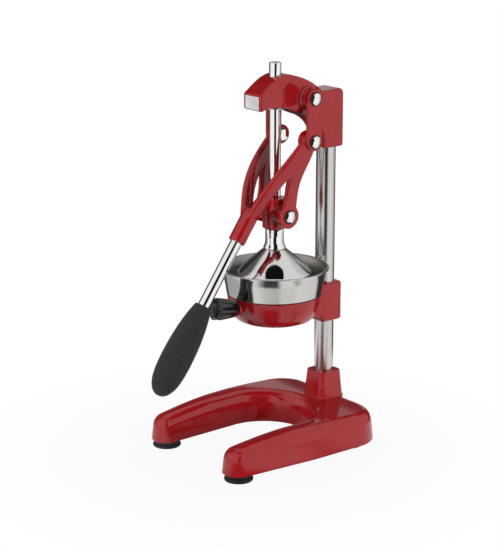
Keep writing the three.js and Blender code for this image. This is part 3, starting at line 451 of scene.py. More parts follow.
def side_rims(bm, low, high):
    """The edges round the two flat sides of a slab."""
    rims = []
    for edge in bm.edges:
        one, other = (vert.co.x for vert in edge.verts)
        if abs(one - other) < 0.01 and min(abs(one - low), abs(one - high)) < 0.01:
            rims.append(edge)
    return rims


def piece(name, bm, finish, body, stands_for=(), sharp=38, modifiers=()):
    bm.transform(PLACE)
    mesh = bpy.data.meshes.new(name)
    bm.to_mesh(mesh)
    bm.free()
    mesh.shade_smooth()
    if sharp:
        mesh.set_sharp_from_angle(angle=radians(sharp))
    mesh.materials.append(finish)
    made = bpy.data.objects.new(name, mesh)
    scene.collection.objects.link(made)
    with_modifiers(made, modifiers)
    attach(made, body)
    if stands_for:
        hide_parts(*stands_for)
    return made


# -------------------- base
TOE_Y, TAIL_Y, BASE_LOW = -136.5, 107.0, 9.0
BASE_HALF, OPENING_HALF, HEEL_Y = 102.5, 60, -16
TOE_RISE, DECK_RISE, TAIL_FALL, DRAFT, DECK_EDGE = 32.0, 41.8, 2.4, 3.6, 13.0
ARCH_FROM, FALL_FROM, FALL_LENGTH = -40.0, 5, 75
BASE_WALL, BASE_ROOF = 5, 9
COLUMN_Y, COLUMN_RADIUS = 84.0, 12.5
FEET = {"front_left": (-76, -117), "front_right": (76, -117),
        "rear_left": (-68, 70), "rear_right": (68, 70)}


def rounded_face(corners, z):
    """A flat face from corners of X, Y and the radius of each, facing up."""
    bm = bmesh.new()
    bm.faces.new([bm.verts.new((x, y, z)) for x, y, _ in corners])
    bm.verts.ensure_lookup_table()
    for vert, (_, _, radius) in zip(list(bm.verts), corners):
        if radius:
            bmesh.ops.bevel(bm, geom=[vert], offset=radius, offset_type="OFFSET",
                            segments=max(3, int(radius / 2.4)), profile=0.5,
                            affect="VERTICES", material=-1)
    bmesh.ops.recalc_face_normals(bm, faces=bm.faces)
    if next(iter(bm.faces)).normal.z < 0:
        bmesh.ops.reverse_faces(bm, faces=bm.faces)
    return bm


def raised(bm, steps):
    """Raises a flat face through steps, each how far it draws in and how far it goes up."""
    top = next(iter(bm.faces))
    for inset, height in steps:
        bmesh.ops.inset_region(bm, faces=[top], thickness=inset, depth=height,
                               use_even_offset=True, use_boundary=True)
    rim = [e for e in bm.edges if e.is_boundary]
    bmesh.ops.holes_fill(bm, edges=rim, sides=0)
    bmesh.ops.recalc_face_normals(bm, faces=bm.faces)
    return bm


def flat_face(bm, up):
    """The largest face that looks up, or down with up at -1."""
    return max((f for f in bm.faces if f.normal.z * up > 0.9), key=lambda f: f.calc_area())


def base_deck():
    """The horseshoe foot, hollow from below, its deck arched from the toes to the column."""
    corners = [(-93.5, TOE_Y, 16), (-56.5, TOE_Y, 16), (-OPENING_HALF, HEEL_Y, 0),
               (-OPENING_HALF, 44, 59.9), (OPENING_HALF, 44, 59.9), (OPENING_HALF, HEEL_Y, 0),
               (56.5, TOE_Y, 16), (93.5, TOE_Y, 16), (BASE_HALF, HEEL_Y, 8),
               (BASE_HALF, TAIL_Y, 46), (-BASE_HALF, TAIL_Y, 46), (-BASE_HALF, HEEL_Y, 8)]
    bm = raised(rounded_face(corners, BASE_LOW), [(DRAFT, TOE_RISE)])
    rounded(bm, list(flat_face(bm, 1).edges), DECK_EDGE, 10, clamp=False)
    rounded(bm, list(flat_face(bm, -1).edges), 1.2, 2, clamp=False)
    under = flat_face(bm, -1)
    for inset, depth in ((BASE_WALL, 0), (1.5, BASE_ROOF - TOE_RISE)):
        bmesh.ops.inset_region(bm, faces=[under], thickness=inset, depth=depth,
                               use_even_offset=True)
    # Cuts every 10 mm let the deck arch.
    for step in range(1, 24):
        sliced(bm, TOE_Y + 10 * step, 0.01)
    for vert in bm.verts:
        ahead = max((ARCH_FROM - vert.co.y) / (ARCH_FROM - TOE_Y), 0)
        behind = unit((vert.co.y - FALL_FROM) / FALL_LENGTH)
        rise = (DECK_RISE - (DECK_RISE - TOE_RISE) * ahead ** 1.6
                - TAIL_FALL * behind ** 2 * (3 - 2 * behind))
        vert.co.z = BASE_LOW + (vert.co.z - BASE_LOW) * rise / TOE_RISE
    return bm


def upright_or_high(edge):
    """Whether an edge stands up, or lies above 80 mm."""
    low, high = (vert.co.z for vert in edge.verts)
    return abs(low - high) > 10 or low + high > 2 * 80


def column_socket():
    """The square socket that tapers up round the foot of the column."""
    half, corner_cut = 22.3, 7.5
    flat = half - corner_cut
    ways = ((1, -1, 1), (1, 1, 1), (1, 1, 0), (-1, 1, 0), (-1, 1, 1), (-1, -1, 1), (-1, -1, 0),
            (1, -1, 0))
    corners = [(x * half, COLUMN_Y + y * flat, 0) if wide else (x * flat, COLUMN_Y + y * half, 0)
               for x, y, wide in ways]
    bm = raised(rounded_face(corners, 30), [(0.3, 17.6), (0.8, 1), (0.4, 1.2), (3.6, 33.2)])
    return eased(bm, 1.6, 25, 4, upright_or_high)


def base_casting():
    """The foot, the socket, a boss for the column's bolt and four for the rubber feet."""
    bosses = [eased(moved(rod(9, BASE_LOW + 0.1, 34, 40), at(x, y, 0)), 0.6)
              for x, y in FEET.values()]
    boss = moved(spun([(4.3, 20), (20, 20), (20, 36), (4.3, 36), (4.3, 20)], 48),
                 at(0, COLUMN_Y, 0))
    return merged(base_deck(), column_socket(), boss, *bosses)


def foot():
    """A rubber foot with a groove round it and a hole for its screw."""
    line = [(2.9, 4), (7, 4), (7, 0), (17.3, 0), (18.1, 1), (18.2, 2.9), (17.4, 3.5), (16.3, 3.9),
            (16.3, 5.1), (17.2, 5.9), (17.2, 8.6), (2.9, 8.6), (2.9, 4)]
    return eased(spun(line, 64), 0.45, 25, 2)


piece("base_shell", base_casting(), ENAMEL, "frame", ["base_casting"],
      modifiers=[EVEN])
for place, (x, y) in FEET.items():
    piece(f"rubber_foot_{place}", moved(foot(), at(x, y, 0)), RUBBER, "frame",
          [f"foot_{place}"])
piece("column_bar", moved(eased(rod(COLUMN_RADIUS, 28.5, 452, 96), 1), at(0, COLUMN_Y, 0)), GROUND,
      "frame", ["column"])

# -------------------- head
PIVOT_Y, UPPER_Z, MIDDLE_Z, LOWER_Z = 30.0, 454.5, 400.5, 307.0
HEAD_HALF, NOSE_Y, HEAD_TOP, BLOCK_LOW, BLOCK_REAR = 16.8, -36.4, 457.0, 383.3, 100.2
SHAFT_RADIUS, BUSH_BORE = 7.6, 8.6
# The sides widen ahead of the first plane and draw in behind the second.
NOSE_FROM, BLOCK_FROM = -20, 93
FLARE_STEPS = 14


def corner(before, point, after, radius, steps=6):
    """Points of the arc that rounds a corner of an outline."""
    point = Vector(point)
    back, onward = (Vector(before) - point).normalized(), (Vector(after) - point).normalized()
    half = back.angle(onward) / 2
    centre = point + (back + onward).normalized() * radius / sin(half)
    start, end = (point + way * radius / tan(half) - centre for way in (back, onward))
    return [tuple(centre + start.slerp(end, i / steps) * radius) for i in range(steps + 1)]


def head_outline():
    """The head from the side: crown, clamp block, arch underneath, nose."""
    crown = [(-30.8, 465.8), (-21.6, 473), (-10.8, 479.3), (0, 482.6), (11, 483.1), (22, 480.2),
             (34, 475), (47, 467.6), (57, 461.6), (66, HEAD_TOP)]
    arch = [(66.6, 394), (65.6, 401), (62.5, 409), (55, 418), (44.5, 425), (33, 430), (22, 435.2),
            (12, 439.2), (0, 442.4), (-12, 443.8), (-21.5, 443.9), (-29, 442.6)]
    brow, rear_top, rear_low, front_low, chin = (
        (NOSE_Y, 461.7), (BLOCK_REAR, HEAD_TOP + 1.3), (BLOCK_REAR, BLOCK_LOW), (67, BLOCK_LOW),
        (NOSE_Y, 440.2))
    return (corner(chin, brow, crown[0], 3) + curve(crown, 4)
            + corner(crown[-1], rear_top, rear_low, 8.5) + corner(rear_top, rear_low, front_low, 4)
            + corner(rear_low, front_low, arch[0], 3) + curve(arch, 4)
            + corner(arch[-1], chin, brow, 3))


def head_body():
    """The head's outline made thick and bored, its sides bowed at the nose and the block."""
    bm = cut(slab(head_outline(), -HEAD_HALF, HEAD_HALF), rod(BUSH_BORE, 400, 500, 64))
    rounded(bm, side_rims(bm, -HEAD_HALF, HEAD_HALF), 2.8, 5, clamp=False)
    for y in (NOSE_FROM, BLOCK_FROM, 95.5, 98):
        sliced(bm, y, 0.001)
    for vert in bm.verts:
        vert.co.x *= 1 + 0.0034 * max(NOSE_FROM - vert.co.y, 0)
        behind = max(vert.co.y - BLOCK_FROM, 0) / (BLOCK_REAR - BLOCK_FROM)
        vert.co.x *= 1 - 0.13 * behind ** 2
    return bm


def head_flare():
    """The hollow that leads from the flat side of the head out to the round boss."""
    line = [(30.5 - 15.5 * i / FLARE_STEPS, 16.7 + 9.3 * (i / FLARE_STEPS) ** 1.08)
            for i in range(FLARE_STEPS + 1)]
    flare = moved(spun([(0, 14)] + line + [(0, 26)], 96), across(1, PIVOT_Y, UPPER_Z))
    return cut(flare, slab(head_outline(), 10, 30), "INTERSECT")


def head_boss():
    """The round boss of the upper pivot, with a groove round it and a spigot for the link."""
    line = [(0, 14), (15, 14), (15, 26.6), (14.2, 27.1), (14.2, 27.8), (15, 28.2), (15, 31),
            (13.2, 31.6), (13.2, 37.4), (0, 37.4)]
    return moved(eased(spun(line, 72), 0.4, 30, 2), across(1, PIVOT_Y, UPPER_Z))


def head_casting():
    """The head with the flares and bosses of its pivot on both sides."""
    return merged(head_body(), mirrored(head_flare()), mirrored(head_boss()))


def shaft_bush():
    """The flanged bush that guides the shaft."""
    line = [(BUSH_BORE, 440.5), (13.5, 440.5), (13.5, 442.5), (11, 442.5), (11, 456.5),
            (BUSH_BORE, 456.5), (BUSH_BORE, 440.5)]
    return eased(spun(line, 64), 0.3, 30, 2)


def nose_plate():
    """A bare plate with a raised rim."""
    bm = slab([(-37, 443), (-36.45, 443), (-36.45, 459.6), (-37, 459.6)], -12.8, 13.6)
    front = min(bm.faces, key=lambda f: f.calc_center_median().y)
    for inset, depth in ((1.3, 0), (0.3, -0.35)):
        bmesh.ops.inset_region(bm, faces=[front], thickness=inset, depth=depth,
                               use_even_offset=True)
    return eased(bm, 0.25, 30, 2)


def clamp_screw(z, rear):
    """A button head socket screw that points to the rear."""
    tip, seat = COLUMN_RADIUS + 0.3, rear + 0.3
    bm = spun([(0, tip), (3, tip), (3, seat), (5.5, seat), (5.5, seat + 2), (4.9, seat + 3.2),
               (3.4, seat + 4), (0, seat + 4)], 48)
    bm = cut(eased(bm, 0.3, 30, 2), moved(hexagon(1.9, 4), at(0, 0, seat + 4)))
    return moved(bm, at(0, COLUMN_Y, z) @ Matrix.Rotation(-pi / 2, 4, "X"))


piece("head_shell", head_casting(), ENAMEL, "frame", ["head_casting"], modifiers=[EVEN])
piece("shaft_bush", shaft_bush(), STEEL, "frame", ["guide_bush"])
piece("nose_plate", nose_plate(), PLATE, "frame", ["head_badge"])
piece("head_clamp_screw", clamp_screw((HEAD_TOP + BLOCK_LOW) / 2, 17), CHROME, "frame",
      ["head_set_screw"])

# -------------------- cup holder, bowl and reamer
CLAMP_LOW, CLAMP_TOP, CLAMP_HALF = 153.0, 204.0, 17.3
HOLDER_WALL, HOLDER_FLOOR = 2.8, 172.1
STRAINER_SLOTS, KNOB_LOBES = 10, 7
FLUTE_DEPTH, FLUTES_FROM = 0.115, 183
KNOB_PLACE = at(0, -60, 192) @ Matrix.Rotation(radians(82), 4, "X")


def holder_wall():
    """The outside of the cup's wall, from the floor up to the rim, and the inside."""
    outer = curve([(44, 168.5), (49.4, 171.2), (54.2, 177.4), (58, 187.4), (60.6, 202.5)], 6)
    return outer, [(r - HOLDER_WALL, max(z, HOLDER_FLOOR)) for r, z in outer]


def holder_hollow():
    """The inside of the cup and the room above it."""
    _, inner = holder_wall()
    return spun([(0, HOLDER_FLOOR)] + inner
                + [(57.8, 202.5), (62.8, 202.55), (62.8, 230), (0, 230)], 96)


def holder_casting():
    """The cup with its outlet, the arm to the column, the clamp and the knob's boss."""
    outer, inner = holder_wall()
    shell = spun([(8, 159.5), (11, 159.5), (12, 161), (12, 168.5)] + outer + inner[::-1]
                 + [(8, HOLDER_FLOOR), (8, 159.5)], 96)
    arm = slab([(40, 166), (60, 160), (72, 157), (72, 203), (50, 201)], -15.4, 15.4)
    for vert in arm.verts:
        vert.co.x *= 1.1 if vert.co.y > 66 else 1.03
    eased(arm, 3.5, 30, 3, lambda e: abs(e.verts[0].co.y - e.verts[1].co.y) > 5)
    corners = [(x * CLAMP_HALF, COLUMN_Y + y * CLAMP_HALF, radius)
               for x, y, radius in ((-1, -1, 3), (1, -1, 3), (1, 1, 7), (-1, 1, 7))]
    clamp = raised(rounded_face(corners, CLAMP_LOW), [(0.01, CLAMP_TOP - CLAMP_LOW)])
    eased(clamp, 2.6, 60, 4)
    boss = moved(eased(rod(9, -6, 2.3, 48), 0.6), KNOB_PLACE)
    return merged(shell, cut(cast(merged(arm, clamp, boss), 0.8, 8), holder_hollow()))


def strainer_bowl():
    """Deep drawn bowl with a rolled rim and short slots in its floor."""
    line = [(0, 178), (44, 178), (46, 178.8), (47.2, 181), (54.1, 189.8), (57.3, 202.8),
            (58.9, 202.9), (59.2, 204.1), (61, 204.4), (62.4, 213), (64.6, 225), (66.2, 233),
            (67.2, 235.4), (68.6, 235.6), (69.7, 236), (69.9, 236.8), (69.3, 237.5), (67.8, 237.7),
            (66.2, 237.2), (65, 235.4), (63, 226), (60.8, 214), (59.3, 205), (57.3, 204.6),
            (55.6, 203.4), (52.4, 190.6), (45.4, 182), (44, 180.4), (42, 179.8), (0, 179.8)]
    slots = bmesh.new()
    for i in range(STRAINER_SLOTS):
        one = bmesh.ops.create_cube(slots, size=1, matrix=Matrix.Diagonal((12, 3, 8, 1)))["verts"]
        bmesh.ops.translate(slots, vec=(36, 0, 179), verts=one)
        turn = Matrix.Rotation(2 * pi * i / STRAINER_SLOTS, 3, "Z")
        bmesh.ops.rotate(slots, matrix=turn, verts=one)
    return cut(spun(line, 120), slots)


def reamer():
    """Fluted cone on which the half fruit is pressed."""
    bm = spun([(0, 180.1), (25, 180.1), (26, 181.2), (25.6, 184), (24.4, 192), (22, 202),
               (18.6, 213), (14.4, 224), (9.4, 233.6), (4.6, 240), (1.4, 242.4), (0, 242.8)], 72)
    for vert in bm.verts:
        start = unit((vert.co.z - FLUTES_FROM) / 10)
        around = atan2(vert.co.y, vert.co.x)
        flute = 1 - FLUTE_DEPTH * (1 - abs(cos(5 * around)) ** 0.6)
        scale = max(1 - (1 - start * flute) * start, 1 - FLUTE_DEPTH)
        vert.co.x *= scale
        vert.co.y *= scale
    return bm


def knob():
    """Screw knob whose lobes run out along a stout neck."""
    bm = spun([(0, 25.2), (4.3, 25.2), (4.3, 2.7), (9.2, 2.7), (10.2, 3.2), (10.8, 5), (11.6, 9),
               (12.3, 13), (12.9, 17), (13.4, 21), (13.9, 25), (14.3, 28.6), (14.5, 31.5),
               (14.4, 34), (13.8, 36.2), (12.7, 37.7), (11.2, 38.4), (8.6, 38.6), (7.6, 38.1),
               (0, 37.8)], 112)
    for vert in bm.verts:
        reach = unit((hypot(vert.co.x, vert.co.y) - 7.5) / 3)
        depth = 0.02 + 0.15 * unit((vert.co.z - 3) / 26)
        around = atan2(vert.co.y, vert.co.x)
        inward = 1 - depth * reach * (0.5 - 0.5 * cos(KNOB_LOBES * around))
        vert.co.x *= inward
        vert.co.y *= inward
    return moved(bm, KNOB_PLACE)


piece("holder_shell", holder_casting(), ENAMEL, "frame", ["holder_casting"], sharp=50)
piece("holder_clamp_screw", clamp_screw((CLAMP_TOP + CLAMP_LOW) / 2, CLAMP_HALF), CHROME, "frame",
      ["holder_set_screw"])
piece("strainer_bowl_dressed", strainer_bowl(), BOWL_STEEL, "frame", ["strainer_bowl"],
      sharp=50)
piece("fluted_reamer", reamer(), BOWL_STEEL, "frame", ["reamer_cone"], sharp=60)
piece("lobed_knob", knob(), PHENOLIC, "knob", ["knob"], sharp=50)

# -------------------- links and pivots
LINK_IN, LINK_OUT, LINK_HALF = 37.7, 42.2, 11.7
EAR_OUT, NUT_IN = 30, 18
PIN_HEAD, PIN_DOME = 7.3, 12.3
NUT_RADIUS, NUT_HEIGHT = 8.08, 4.2


def link_plate():
    """A flat link with round ends about the upper and the middle pivot."""
    outline = []
    for z, start in ((UPPER_Z, 0), (MIDDLE_Z, pi)):
        turns = [start + pi * i / 24 for i in range(25)]
        outline += [(PIVOT_Y + LINK_HALF * cos(turn), z + LINK_HALF * sin(turn)) for turn in turns]
    bm = slab(outline, LINK_IN, LINK_OUT)
    return rounded(bm, side_rims(bm, LINK_IN, LINK_OUT), 1.3, 4)


def pivot_head(seat):
    """A domed pin head that stands off the plate."""
    low = seat + 1.8
    dome = []
    for i in range(9):
        reach = PIN_HEAD * sin(pi / 2 * i / 8)
        dome.append((reach, low + 3.6 - PIN_DOME * (1 - cos(asin(reach / PIN_DOME)))))
    return spun([(0, low), (7.1, low)] + dome[::-1], 64)


def pivot_washer(seat):
    """A flat washer just off the plate."""
    low = seat + 0.3
    line = [(5.3, low), (9, low), (8.9, low + 1.2), (5.3, low + 1.2), (5.3, low)]
    return eased(spun(line, 64), 0.3, 30, 2)


def middle_bolt():
    """The bolt that a link and an arm of the lever share."""
    return merged(pivot_head(LINK_OUT),
                  spun([(0, 18.6), (4.4, 18.6), (5, 19.2), (5, 44), (0, 44)], 48))


for side, sign in (("left", -1), ("right", 1)):
    plate = link_plate() if sign > 0 else moved(link_plate(), MIRROR)
    piece(f"link_plate_{side}", plate, ENAMEL, "links", [f"link_{side}"],
          modifiers=[EVEN])
    for place, seat, y, z, body in (("upper", LINK_OUT, PIVOT_Y, UPPER_Z, "links"),
                                    ("lower", EAR_OUT, 0, LOWER_Z, "plunger")):
        piece(f"{place}_pin_head_{side}", moved(pivot_head(seat), across(sign, y, z)), CHROME,
              body, [f"pivot_{place}_head_{side}"])
        piece(f"{place}_washer_{side}", moved(pivot_washer(seat), across(sign, y, z)), SHADOW_GAP_WASHER,
              body, [f"pivot_{place}_washer_{side}"])
    middle = across(sign, PIVOT_Y, MIDDLE_Z)
    piece(f"middle_bolt_{side}", moved(middle_bolt(), middle), CHROME, "lever",
          [f"pivot_middle_bolt_{side}"])
    piece(f"middle_washer_{side}", moved(pivot_washer(LINK_OUT), middle), SHADOW_GAP_WASHER, "lever",
          [f"pivot_middle_washer_{side}"])
    nut = eased(hexagon(NUT_RADIUS, NUT_HEIGHT), 0.5, 30, 3)
    piece(f"middle_nut_{side}", moved(nut, at(0, 0, NUT_IN + NUT_HEIGHT / 2), middle), CHROME,
          "lever", [f"pivot_middle_nut_{side}"])

# -------------------- lever
SOCKET_Y, SOCKET_Z, TILT = -38.3, 311.1, radians(35)
HANDLE_RADIUS = 7.6
DOWN_HANDLE = (at(0, SOCKET_Y, SOCKET_Z) @ Matrix.Rotation(-TILT, 4, "X")
               @ Matrix.Rotation(pi, 4, "X"))
# Corners of a soft rectangle, as parts of half its width and half its thickness.
SECTION = [(1, 0.42), (0.66, 1), (-0.66, 1), (-1, 0.42),
           (-1, -0.42), (-0.66, -1), (0.66, -1), (1, -0.42)]


def swept(stations):
    """A bar of soft rectangular section, from stations of X, Y, Z, width and thickness."""
    line = [Vector(s[:3]) for s in stations]
    bm = bmesh.new()
    rings = []
    for i, (*_, width, thick) in enumerate(stations):
        along = (line[min(i + 1, len(line) - 1)] - line[max(i - 1, 0)]).normalized()
        wide = Vector((0, along.z, -along.y)).normalized()
        out = wide.cross(along).normalized()
        ring = [bm.verts.new(line[i] + wide * width / 2 * a + out * thick / 2 * b)
                for a, b in SECTION]
        rings.append([bm.edges.new(pair) for pair in zip(ring, ring[1:] + ring[:1])])
    for low, high in zip(rings, rings[1:]):
        bmesh.ops.bridge_loops(bm, edges=low + high)
    bmesh.ops.holes_fill(bm, edges=rings[0] + rings[-1], sides=0)
    bmesh.ops.recalc_face_normals(bm, faces=bm.faces)
    return shaped(bm, SMOOTH)


def eye(radius, low, high, y, z):
    """The round eye of an arm about a pivot, from one X to another."""
    return moved(eased(rod(radius, low, high), 1.2, 30, 3), across(1, y, z))


def lever_yoke():
    """Two bowed arms with their legs and eyes, and the socket of the handle between them."""
    arm = swept([(32.3, 31, 401.5, 23.5, 9.6), (32.6, 19, 389, 21.8, 9.4),
                 (29.8, -7.3, 364.8, 19.6, 9.2), (19.4, -28, 338.6, 18.6, 9.2),
                 (8.6, -37.7, 314.1, 18, 10.2), (3.4, -45.3, 301.1, 15, 10.2)])
    leg = swept([(32.3, 31, 401.5, 22.5, 9.6), (32.4, 21, 382, 21.2, 9.4),
                 (30, 12.2, 365.5, 21.2, 9.2), (27, 6.4, 348.5, 21.2, 9), (25.8, 5, 331, 18.8, 9),
                 (25.5, 1.5, 315, 23.4, 9), (25.5, 0, 305, 25.4, 9)])
    half = merged(arm, leg, eye(12.4, 22.5, 37.4, PIVOT_Y, MIDDLE_Z),
                  eye(15.4, 21, EAR_OUT, 0, LOWER_Z))
    socket = spun([(0, -8.6), (5.4, -7.6), (9.2, -4.2), (10.8, 2), (10.8, 39.2), (10, 40),
                   (0, 40)], 64)
    return cast(merged(mirrored(half), moved(socket, DOWN_HANDLE)), 0.8, 6)


def foam_grip():
    """The grip, slim at the socket and full at the hand, round the end of the bar."""
    line = [(0, 244.3), (7.9, 244.3), (7.9, 130), (10.2, 130), (10.7, 130.3), (11.1, 131.4),
            (13.9, 141.2), (16.4, 154.9), (18.8, 172.3), (20, 194.7), (19.9, 215), (18.5, 231.5),
            (14.8, 243.3), (9.5, 250.7), (4, 253.7), (0, 253.9)]
    return moved(spun(line, 40), DOWN_HANDLE)


piece("yoke_casting", lever_yoke(), ENAMEL, "lever", ["lever_yoke"], sharp=None)
piece("handle_bar", moved(eased(rod(HANDLE_RADIUS, 5.5, 244), 1), DOWN_HANDLE), CHROME, "lever",
      ["handle_rod"])
piece("foam_grip", foam_grip(), FOAM, "lever", ["handle_grip"], sharp=None,
      modifiers=[SMOOTH])


# -------------------- plunger
def plunger_bracket():
    """The sleeve round shaft and neck, with the lower pivot's boss on each side."""
    sleeve = eased(rod(15.5, 288, 327), 1.8, 30, 4)
    boss = moved(eased(rod(13, 6, 20.7, 64), 1, 30, 3), across(1, 0, LOWER_Z))
    return cast(merged(sleeve, mirrored(boss)), 0.7, 8)


def cone_neck():
    """The turned collar between the bracket and the cone."""
    return spun([(0, 276), (4.3, 276), (4.3, 262), (13.6, 262), (14.2, 262.4), (14.1, 263.4),
                 (13.2, 265), (12.5, 266.9), (12, 269.6), (11.8, 272.4), (11.8, 286.6),
                 (10.8, 287.7), (6, 287.7), (6, 297.5), (0, 297.5)], 84)


def cone_shell():
    """The pressed cone, thin walled and open below."""
    return spun([(4.3, 259.3), (4.3, 261.7), (13.4, 261.7), (14.8, 260.8), (16.4, 259.3),
                 (21.5, 255), (26.6, 250.7), (30.5, 247.3), (34.5, 243.6), (39.5, 238.7),
                 (45.4, 232.8), (47, 230.8), (47.7, 229.4), (47.6, 228.6), (46.8, 228.2),
                 (45.4, 228.2), (44.4, 229.4), (35, 238.9), (25, 248.4), (14.6, 258),
                 (12.6, 259.3), (4.3, 259.3)], 120)


piece("bracket_casting", plunger_bracket(), ENAMEL, "plunger", ["plunger_bracket"],
      sharp=None)
piece("plunger_bar", eased(rod(SHAFT_RADIUS, 317.5, 498), 1.1), CHROME, "plunger",
      ["plunger_shaft"])
piece("cone_neck", cone_neck(), CHROME, "plunger", ["press_neck"], sharp=50)
piece("cone_shell", cone_shell(), CONE_STEEL, "plunger", ["press_cone"], sharp=50)

# -------------------- small pieces kept in the frame's shape
OWN_FINISHES = {"column_washer": ZINC, "column_bolt": ZINC, "knob_stem": STEEL,
                "cone_screw": STEEL, "rod_set_screw": CHROME, "pivot_upper_pin": CHROME,
                "pivot_lower_pin": CHROME}
OWN_FINISHES.update({f"foot_screw_{place}": ZINC for place in FEET})
for node, finish in OWN_FINISHES.items():
    for material_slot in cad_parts[node].material_slots:
        material_slot.material = finish


# -------------------- floor, light and surroundings
def from_the_front(tree, look):
    """How far a direction points to the front, and how far to the right."""
    toward = Vector((sin(VIEW_TURN), -cos(VIEW_TURN), 0))
    right = Vector((-toward.y, toward.x, 0))
    return [add(tree, "ShaderNodeVectorMath", {0: look, 1: way}, operation="DOT_PRODUCT")
            .outputs["Value"] for way in (toward, right)]


def flagged(tree, look, flags):
    """Levels of grey round the press, by angle from the front, as bright metal sees them."""
    ahead, aside = from_the_front(tree, look)
    angle = add(tree, "ShaderNodeMath", {0: aside, 1: ahead}, operation="ARCTAN2")
    turn = add(tree, "ShaderNodeMapRange", {"Value": angle, "From Min": -pi, "From Max": pi})
    return add(tree, "ShaderNodeValToRGB", {"Fac": turn},
               [((degrees + 180) / 360, grey(level)) for degrees, level in flags])


def high_flag(tree, look, height):
    """1 inside a long dark flag that hangs level, high above the front of the press."""
    # Where a direction meets the flag's level, ahead and aside, in parts of its height.
    ahead, aside = from_the_front(tree, look)
    ahead = add(tree, "ShaderNodeMath", {0: ahead, 1: height}, operation="DIVIDE")
    aside = add(tree, "ShaderNodeMath", {0: aside, 1: height}, operation="DIVIDE")
    aside = add(tree, "ShaderNodeMath", {0: aside}, operation="ABSOLUTE")
    inside = add(tree, "ShaderNodeValToRGB", {"Fac": height}, [(0.8, grey(0)), (0.85, grey(1))])
    for reach, edges in ((ahead, [(0.15, 0), (0.165, 1), (0.46, 1), (0.5, 0)]),
                         (aside, [(0.36, 1), (0.4, 0)])):
        band = add(tree, "ShaderNodeValToRGB", {"Fac": reach},
                   [(place, grey(level)) for place, level in edges])
        inside = add(tree, "ShaderNodeMath", {0: inside, 1: band}, operation="MULTIPLY")
    return inside


def studio_tones(tree, look):
    """What bright metal sees round the press: zones one above the other, and the high flag."""
    height = add(tree, "ShaderNodeSeparateXYZ", {"Vector": look}).outputs["Z"]
    seen = flagged(tree, look, [
        (-180, 0.03), (-136, 0.03), (-128, 0.2), (-104, 0.25), (-88, 1), (-18, 1), (-12, 0.01),
        (20, 0.01), (26, 1), (66, 1), (92, 0.9), (104, 0.5), (120, 0.6), (130, 0.04),
        (180, 0.03)])
    low_back, high_back = (flagged(tree, look, [
        (-180, back), (-164, back), (-158, 0.03), (-142, 0.03), (-134, 0.12), (-118, 0.12),
        (-106, 0.9), (-90, 1), (-14, 1), (-8, 0.01), (32, 0.01), (38, 1), (100, 0.9), (132, 0.6),
        (142, 0.03), (158, 0.03), (164, back), (180, back)]) for back in (0.6, 0.06))
    # Each zone with the heights between which it comes in.
    layers = [(zone, add(tree, "ShaderNodeValToRGB", {"Fac": height},
                         [(start, grey(0)), (end, grey(1))]))
              for zone, start, end in ((low_back, 0.05, 0.12), (high_back, 0.289, 0.304),
                                       (grey(0.9), 0.66, 0.8))]
    for tone, share in layers + [(grey(0.006), high_flag(tree, look, height))]:
        seen = add(tree, "ShaderNodeMix", {"Factor": share, "A": seen, "B": tone},
                   data_type="RGBA").outputs["Result"]
    return seen


def by_ray(tree, others, gloss, eye):
    """One shader for what the eye sees, one for gloss and one for all other rays."""
    rays = add(tree, "ShaderNodeLightPath").outputs
    unseen = add(tree, "ShaderNodeMixShader", {0: rays["Is Glossy Ray"], 1: others, 2: gloss})
    return add(tree, "ShaderNodeMixShader", {0: rays["Is Camera Ray"], 1: unseen, 2: eye})


def studio_world():
    """White to the eye; bright metal sees a studio with dark flags, and lamps light the press."""
    world = bpy.data.worlds.new("studio")
    world.use_nodes = True
    tree = world.node_tree
    tree.nodes.clear()
    look = add(tree, "ShaderNodeTexCoord").outputs["Generated"]
    mirror = add(tree, "ShaderNodeBackground", {"Color": studio_tones(tree, look)})
    plain = add(tree, "ShaderNodeBackground", {"Color": grey(1), "Strength": 0.17})
    white = add(tree, "ShaderNodeBackground", {"Color": grey(1)})
    add(tree, "ShaderNodeOutputWorld", {"Surface": by_ray(tree, plain, mirror, white)})
    scene.world = world


def card_tones(tree, where):
    """What bright metal sees in the card: the studio's flags, and shade under the press."""
    from_bowl = add(tree, "ShaderNodeMapping", {"Vector": where, "Location": (0, -AXIS_Y, 0)})
    away = add(tree, "ShaderNodeVectorMath", {0: from_bowl}, operation="LENGTH").outputs["Value"]
    sheet = flagged(tree, from_bowl, [
        (-180, 0.05), (-146, 0.05), (-134, 0.5), (-100, 0.55), (-66, 0.7), (-44, 1), (-8, 1),
        (12, 0.82), (40, 0.86), (56, 0.98), (100, 0.9), (112, 0.85), (119, 0.04), (144, 0.04),
        (156, 0.5), (180, 0.4)])
    near = add(tree, "ShaderNodeValToRGB", {"Fac": away}, [(0.335, grey(1)), (0.36, grey(0))])
    under = flagged(tree, from_bowl, [
        (-180, 0.95), (-44, 0.95), (-34, 0.5), (-22, 0.06), (6, 0.06), (16, 0.95), (40, 0.95),
        (54, 0.5), (68, 0.95), (180, 0.95)])
    shade = add(tree, "ShaderNodeValToRGB", {"Fac": away}, [(0.1, grey(0.3)), (0.16, grey(1))])
    under = add(tree, "ShaderNodeMix", {"Factor": 1.0, "A": under, "B": shade}, data_type="RGBA",
                blend_type="MULTIPLY").outputs["Result"]
    return add(tree, "ShaderNodeMix", {"Factor": near, "A": sheet, "B": under},
               data_type="RGBA").outputs["Result"]


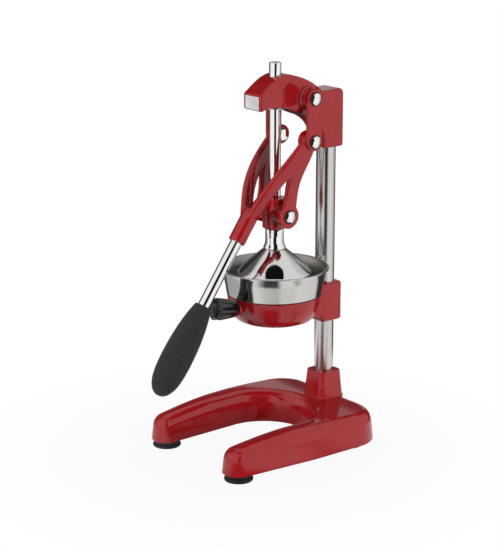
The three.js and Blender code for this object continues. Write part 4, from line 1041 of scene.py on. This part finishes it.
def white_card(tree, where):
    # Uncoated white board, laid as a floor: matt where it holds the press's shadow, white to
    # the eye further out, and with the studio's dark flags in it for the bright metal alone.
    pulp = add(tree, "ShaderNodeTexNoise", {"Vector": where, "Scale": each(3), "Detail": 3})
    fibre = add(tree, "ShaderNodeValToRGB", {"Fac": pulp},
                [(0.3, paint("#BABAB9")), (0.7, paint("#BFBFBE"))])
    matt = add(tree, "ShaderNodeBsdfDiffuse", {"Color": fibre})
    glow = add(tree, "ShaderNodeEmission", {"Color": grey(1)})
    reach = add(tree, "ShaderNodeVectorMath", {0: where}, operation="LENGTH").outputs["Value"]
    clear = add(tree, "ShaderNodeValToRGB", {"Fac": reach}, [(0.15, grey(0.94)), (0.4, grey(1))])
    shown = add(tree, "ShaderNodeMixShader", {0: clear, 1: matt, 2: glow})
    mirror = add(tree, "ShaderNodeEmission", {"Color": card_tones(tree, where)})
    return by_ray(tree, matt, mirror, shown)


def floor_sheet():
    """A pale round card under the press."""
    bm = bmesh.new()
    bmesh.ops.create_circle(bm, cap_ends=True, segments=96, radius=0.62)
    mesh = bpy.data.meshes.new("floor_card")
    bm.to_mesh(mesh)
    bm.free()
    mesh.materials.append(material("white_card", white_card))
    card = bpy.data.objects.new("floor_card", mesh)
    scene.collection.objects.link(card)


def softbox(name, place, aim, size, watts):
    """A round soft lamp that lights the press without showing in its gloss."""
    data = bpy.data.lights.new(name, "AREA")
    data.shape = "DISK"
    data.size = size
    data.energy = watts
    lamp = bpy.data.objects.new(name, data)
    lamp.location = place
    lamp.rotation_euler = (Vector(place) - Vector(aim)).to_track_quat("Z", "Y").to_euler()
    lamp.visible_glossy = False
    scene.collection.objects.link(lamp)


studio_world()
floor_sheet()
softbox("key_right", (2.1, 0.1, 0.6), (0, 0, 0.25), 1.2, 29)
softbox("top_fill", (0.2, -0.3, 2.2), (0, 0, 0.2), 1.6, 4)
softbox("front_left", (-0.9, -2.1, 0.9), (0, 0, 0.25), 1.4, 34)
softbox("rear_fill", (-0.8, 2.2, 0.7), (0, 0, 0.25), 1.6, 18)
